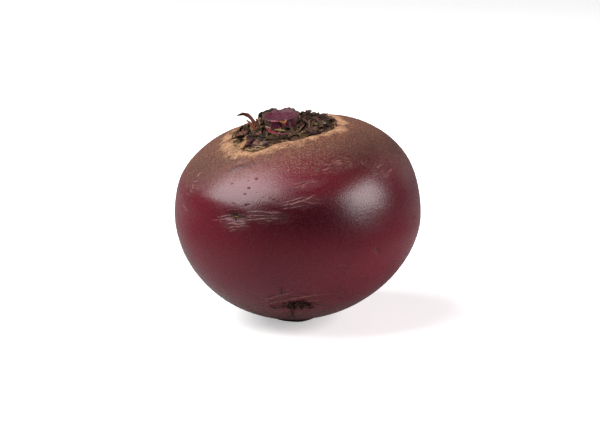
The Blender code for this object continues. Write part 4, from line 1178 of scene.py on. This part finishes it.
def scar_hairs():
    """Root hairs in the scars: a tuft in each, and the tangle at the bottom one with its long strand."""
    draw = random.Random(19)
    pattern = template(STRIP_LEVELS)
    strip = places_of(pattern)
    strips = []

    def hair(stops, thickness, colour):
        """One hair by (polar, azimuth, millimetres out of the skin) stops."""
        polar, azimuth, out = np.array(stops, float).T
        polar, azimuth = np.radians(polar), np.radians(azimuth)
        points = on_skin(polar, azimuth, body_relief(polar, azimuth) + out)
        half = thickness / 2.0
        places = bent(strip, points, (half, half, half * 0.9, half * 0.45), thickness, 0.0, 0.0)
        strips.append((settled(places), colour))

    for polar, azimuth, spread_x, spread_y, count, slant in TUFTS:
        wide = float(outline(math.radians(polar))[0])
        for _ in range(count):
            x, y = draw.gauss(0.0, spread_x), draw.gauss(0.0, spread_y)
            towards = math.radians(draw.gauss(40, 30)) if slant else draw.uniform(0.0, TURN)
            length = draw.uniform(1.2, 3.0) if slant else draw.uniform(1.5, 4.0)
            bend = draw.uniform(-1.2, 1.2)
            high = draw.uniform(0.1, 0.5 if slant else 0.9)
            stops = []
            for s in (0.0, 0.33, 0.67, 1.0):
                heading = towards + bend * (s - 0.5)
                here_x = x + length * (s - 0.4) * math.cos(heading)
                here_y = y + length * (s - 0.4) * math.sin(heading)
                out = high * math.sin(math.pi * min(s + 0.15, 1.0)) - (0.1 if s in (0.0, 1.0) else 0.0)
                down, right = math.degrees(here_y / EQUATOR_RADIUS), math.degrees(here_x / wide)
                stops.append((polar + down, azimuth + right, out))
            browns = ("#7a5644",) if slant else ("#5f3d2f", "#160c09")
            colour = draw.choice(("#2a1610", "#4b2c22", *browns))
            hair(stops, draw.uniform(0.15, 0.26) if slant else draw.uniform(0.2, 0.36), colour)
    for stops, thickness, colour in (
        ([(132.5, -92.6, 0.3), (135.5, -92.0, 0.9), (140.5, -91.0, 0.8), (146.5, -89.4, 0.4)], 0.34, SOOT),
        ([(133.0, -90.8, 0.3), (136.5, -90.2, 0.8), (141.0, -92.6, 0.9), (143.5, -95.0, 0.5)], 0.24, CRUST),
        ([(131.0, -96.0, 0.2), (132.6, -100.4, 0.6), (133.6, -104.6, 0.3)], 0.24, CRUST),
        ([(130.0, -80.0, 0.2), (130.5, -75.0, 0.6), (132.0, -71.0, 0.3)], 0.22, CRUST),
        ([(121.2, -97.4, 0.0), (118.8, -97.2, 0.5), (116.4, -95.8, 0.7)], 0.26, "#3a2018"),
        ([(117.8, -97.0, 0.4), (116.0, -98.6, 0.9)], 0.18, "#3a2018"),
    ):
        hair(stops, thickness, colour)
    for _ in range(STUB_HAIRS):
        azimuth = draw.uniform(-180, 180)
        polar = draw.uniform(168.2, 170.5)
        sweep = draw.uniform(-5, 5)
        middle, tip = (polar - 1.2, azimuth + sweep, 0.25), (polar - 2.6, azimuth + sweep * 1.8, 0.15)
        thickness = draw.uniform(0.14, 0.26)
        hair([(polar, azimuth, -0.1), middle, tip], thickness, draw.choice((SOOT, CRUST, BROWN)))
    return gathered("root_hairs", pattern, strips, hair_finish(), "beet_skin")


def softbox(name, towards, distance, wide, tall, radiance, aim, tone=(1.0, 1.0, 1.0)):
    """A rectangular area light in a direction from the beet, by how bright its face looks."""
    light = bpy.data.lights.new(name, "AREA")
    light.shape = "RECTANGLE"
    light.size, light.size_y = wide, tall
    light.energy = radiance * math.pi * wide * tall
    light.color = tone
    lamp = bpy.data.objects.new(name, light)
    bpy.context.scene.collection.objects.link(lamp)
    lamp.location = aim + Vector(towards).normalized() * distance
    lamp.rotation_euler = (aim - lamp.location).to_track_quat("-Z", "Y").to_euler()
    lamp.visible_camera = False


def studio():
    """A pale floor, softboxes at the left, low left and right, a wall of light behind and a dim room.

    The camera sees white paper. What the floor throws and mirrors back is set by light path instead.
    """
    shape = bmesh.new()
    bmesh.ops.create_grid(shape, x_segments=1, y_segments=1, size=4.0)
    bmesh.ops.translate(shape, verts=shape.verts, vec=(0.0, 0.0, -0.0002))
    floor = bpy.data.objects.new("floor", mesh_from("floor", shape))
    bpy.context.scene.collection.objects.link(floor)
    made, node, shader = new_material("matte_white_paper")
    fill(shader, {"Base Color": (0.9, 0.9, 0.9, 1.0), "Roughness": 0.9})
    place = node("TexCoord", out="Object")
    away = node("VectorMath", place, operation="LENGTH")
    behind = node("SeparateXYZ", place, out="Y")
    far_sheen = node("MapRange", behind, 0.03, 0.14, 0.08, 0.24)
    near_sheen = node("MapRange", behind, -0.06, 0.06, 0.26, 0.42)
    sheen = node("MapRange", away, 0.05, 0.16, near_sheen, far_sheen)
    thrown = node("BsdfDiffuse", {"Color": node("MapRange", away, 0.07, 0.30, 0.46, 0.14)})
    mirrored = node("BsdfDiffuse", {"Color": sheen})
    thrown = node("MixShader", node("LightPath", out="Is Glossy Ray"), thrown, mirrored)
    glow = node("Emission", {"Color": WHITE, "Strength": 0.42})
    paper = node("AddShader", shader.outputs[0], glow)
    mixed = node("MixShader", node("LightPath", out="Is Camera Ray"), thrown, paper)
    fill(made.node_tree.nodes["Material Output"], {"Surface": mixed})
    floor.data.materials.append(made)

    aim = Vector((0.0, 0.0, EQUATOR_HEIGHT * MM))
    softbox("softbox_left", (-0.585, -0.15, 0.71), 0.9, 0.92, 0.78, 7.6, aim)
    softbox("softbox_low", (-0.76, -0.53, 0.28), 0.9, 0.42, 0.28, 1.0, aim)
    softbox("softbox_right", (0.858, -0.278, 0.40), 0.9, 0.53, 0.53, 10.2, aim, (1.0, 0.91, 0.935))
    softbox("back_wall", (0.1, 0.97, 0.22), 1.6, 3.8, 0.9, 0.45, aim)

    world = bpy.data.worlds.new("dim_room")
    bpy.context.scene.world = world
    world.use_nodes = True
    world.node_tree.nodes.clear()
    node = partial(add, world.node_tree)
    dim = node("Background", {"Color": WHITE, "Strength": 0.035})
    pale = node("Background", {"Color": WHITE, "Strength": 0.85})
    node("OutputWorld", {"Surface": node("MixShader", node("LightPath", out="Is Camera Ray"), dim, pale)})


def camera():
    """The photograph's view: a little above the horizon, with a long lens."""
    lens = bpy.data.cameras.new("camera")
    lens.lens, lens.sensor_width = 100.0, 36.0
    lens.clip_start = 0.01
    lens.shift_x, lens.shift_y = 0.00467, -0.011
    eye = bpy.data.objects.new("camera", lens)
    bpy.context.scene.collection.objects.link(eye)
    pivot = Vector((CROWN_SHIFT * MM, 0.0, EQUATOR_HEIGHT * MM))
    eye.location = pivot + CAMERA_DISTANCE * Vector((0.0, -math.cos(CAMERA_RISE), math.sin(CAMERA_RISE)))
    eye.rotation_euler = (math.pi / 2.0 - CAMERA_RISE, 0.0, 0.0)
    bpy.context.scene.camera = eye


camera()
studio()
skin()
stump()
leaf_bases()
stump_shreds()
scar_hairs()
bpy.context.scene.view_settings.view_transform = "Standard"
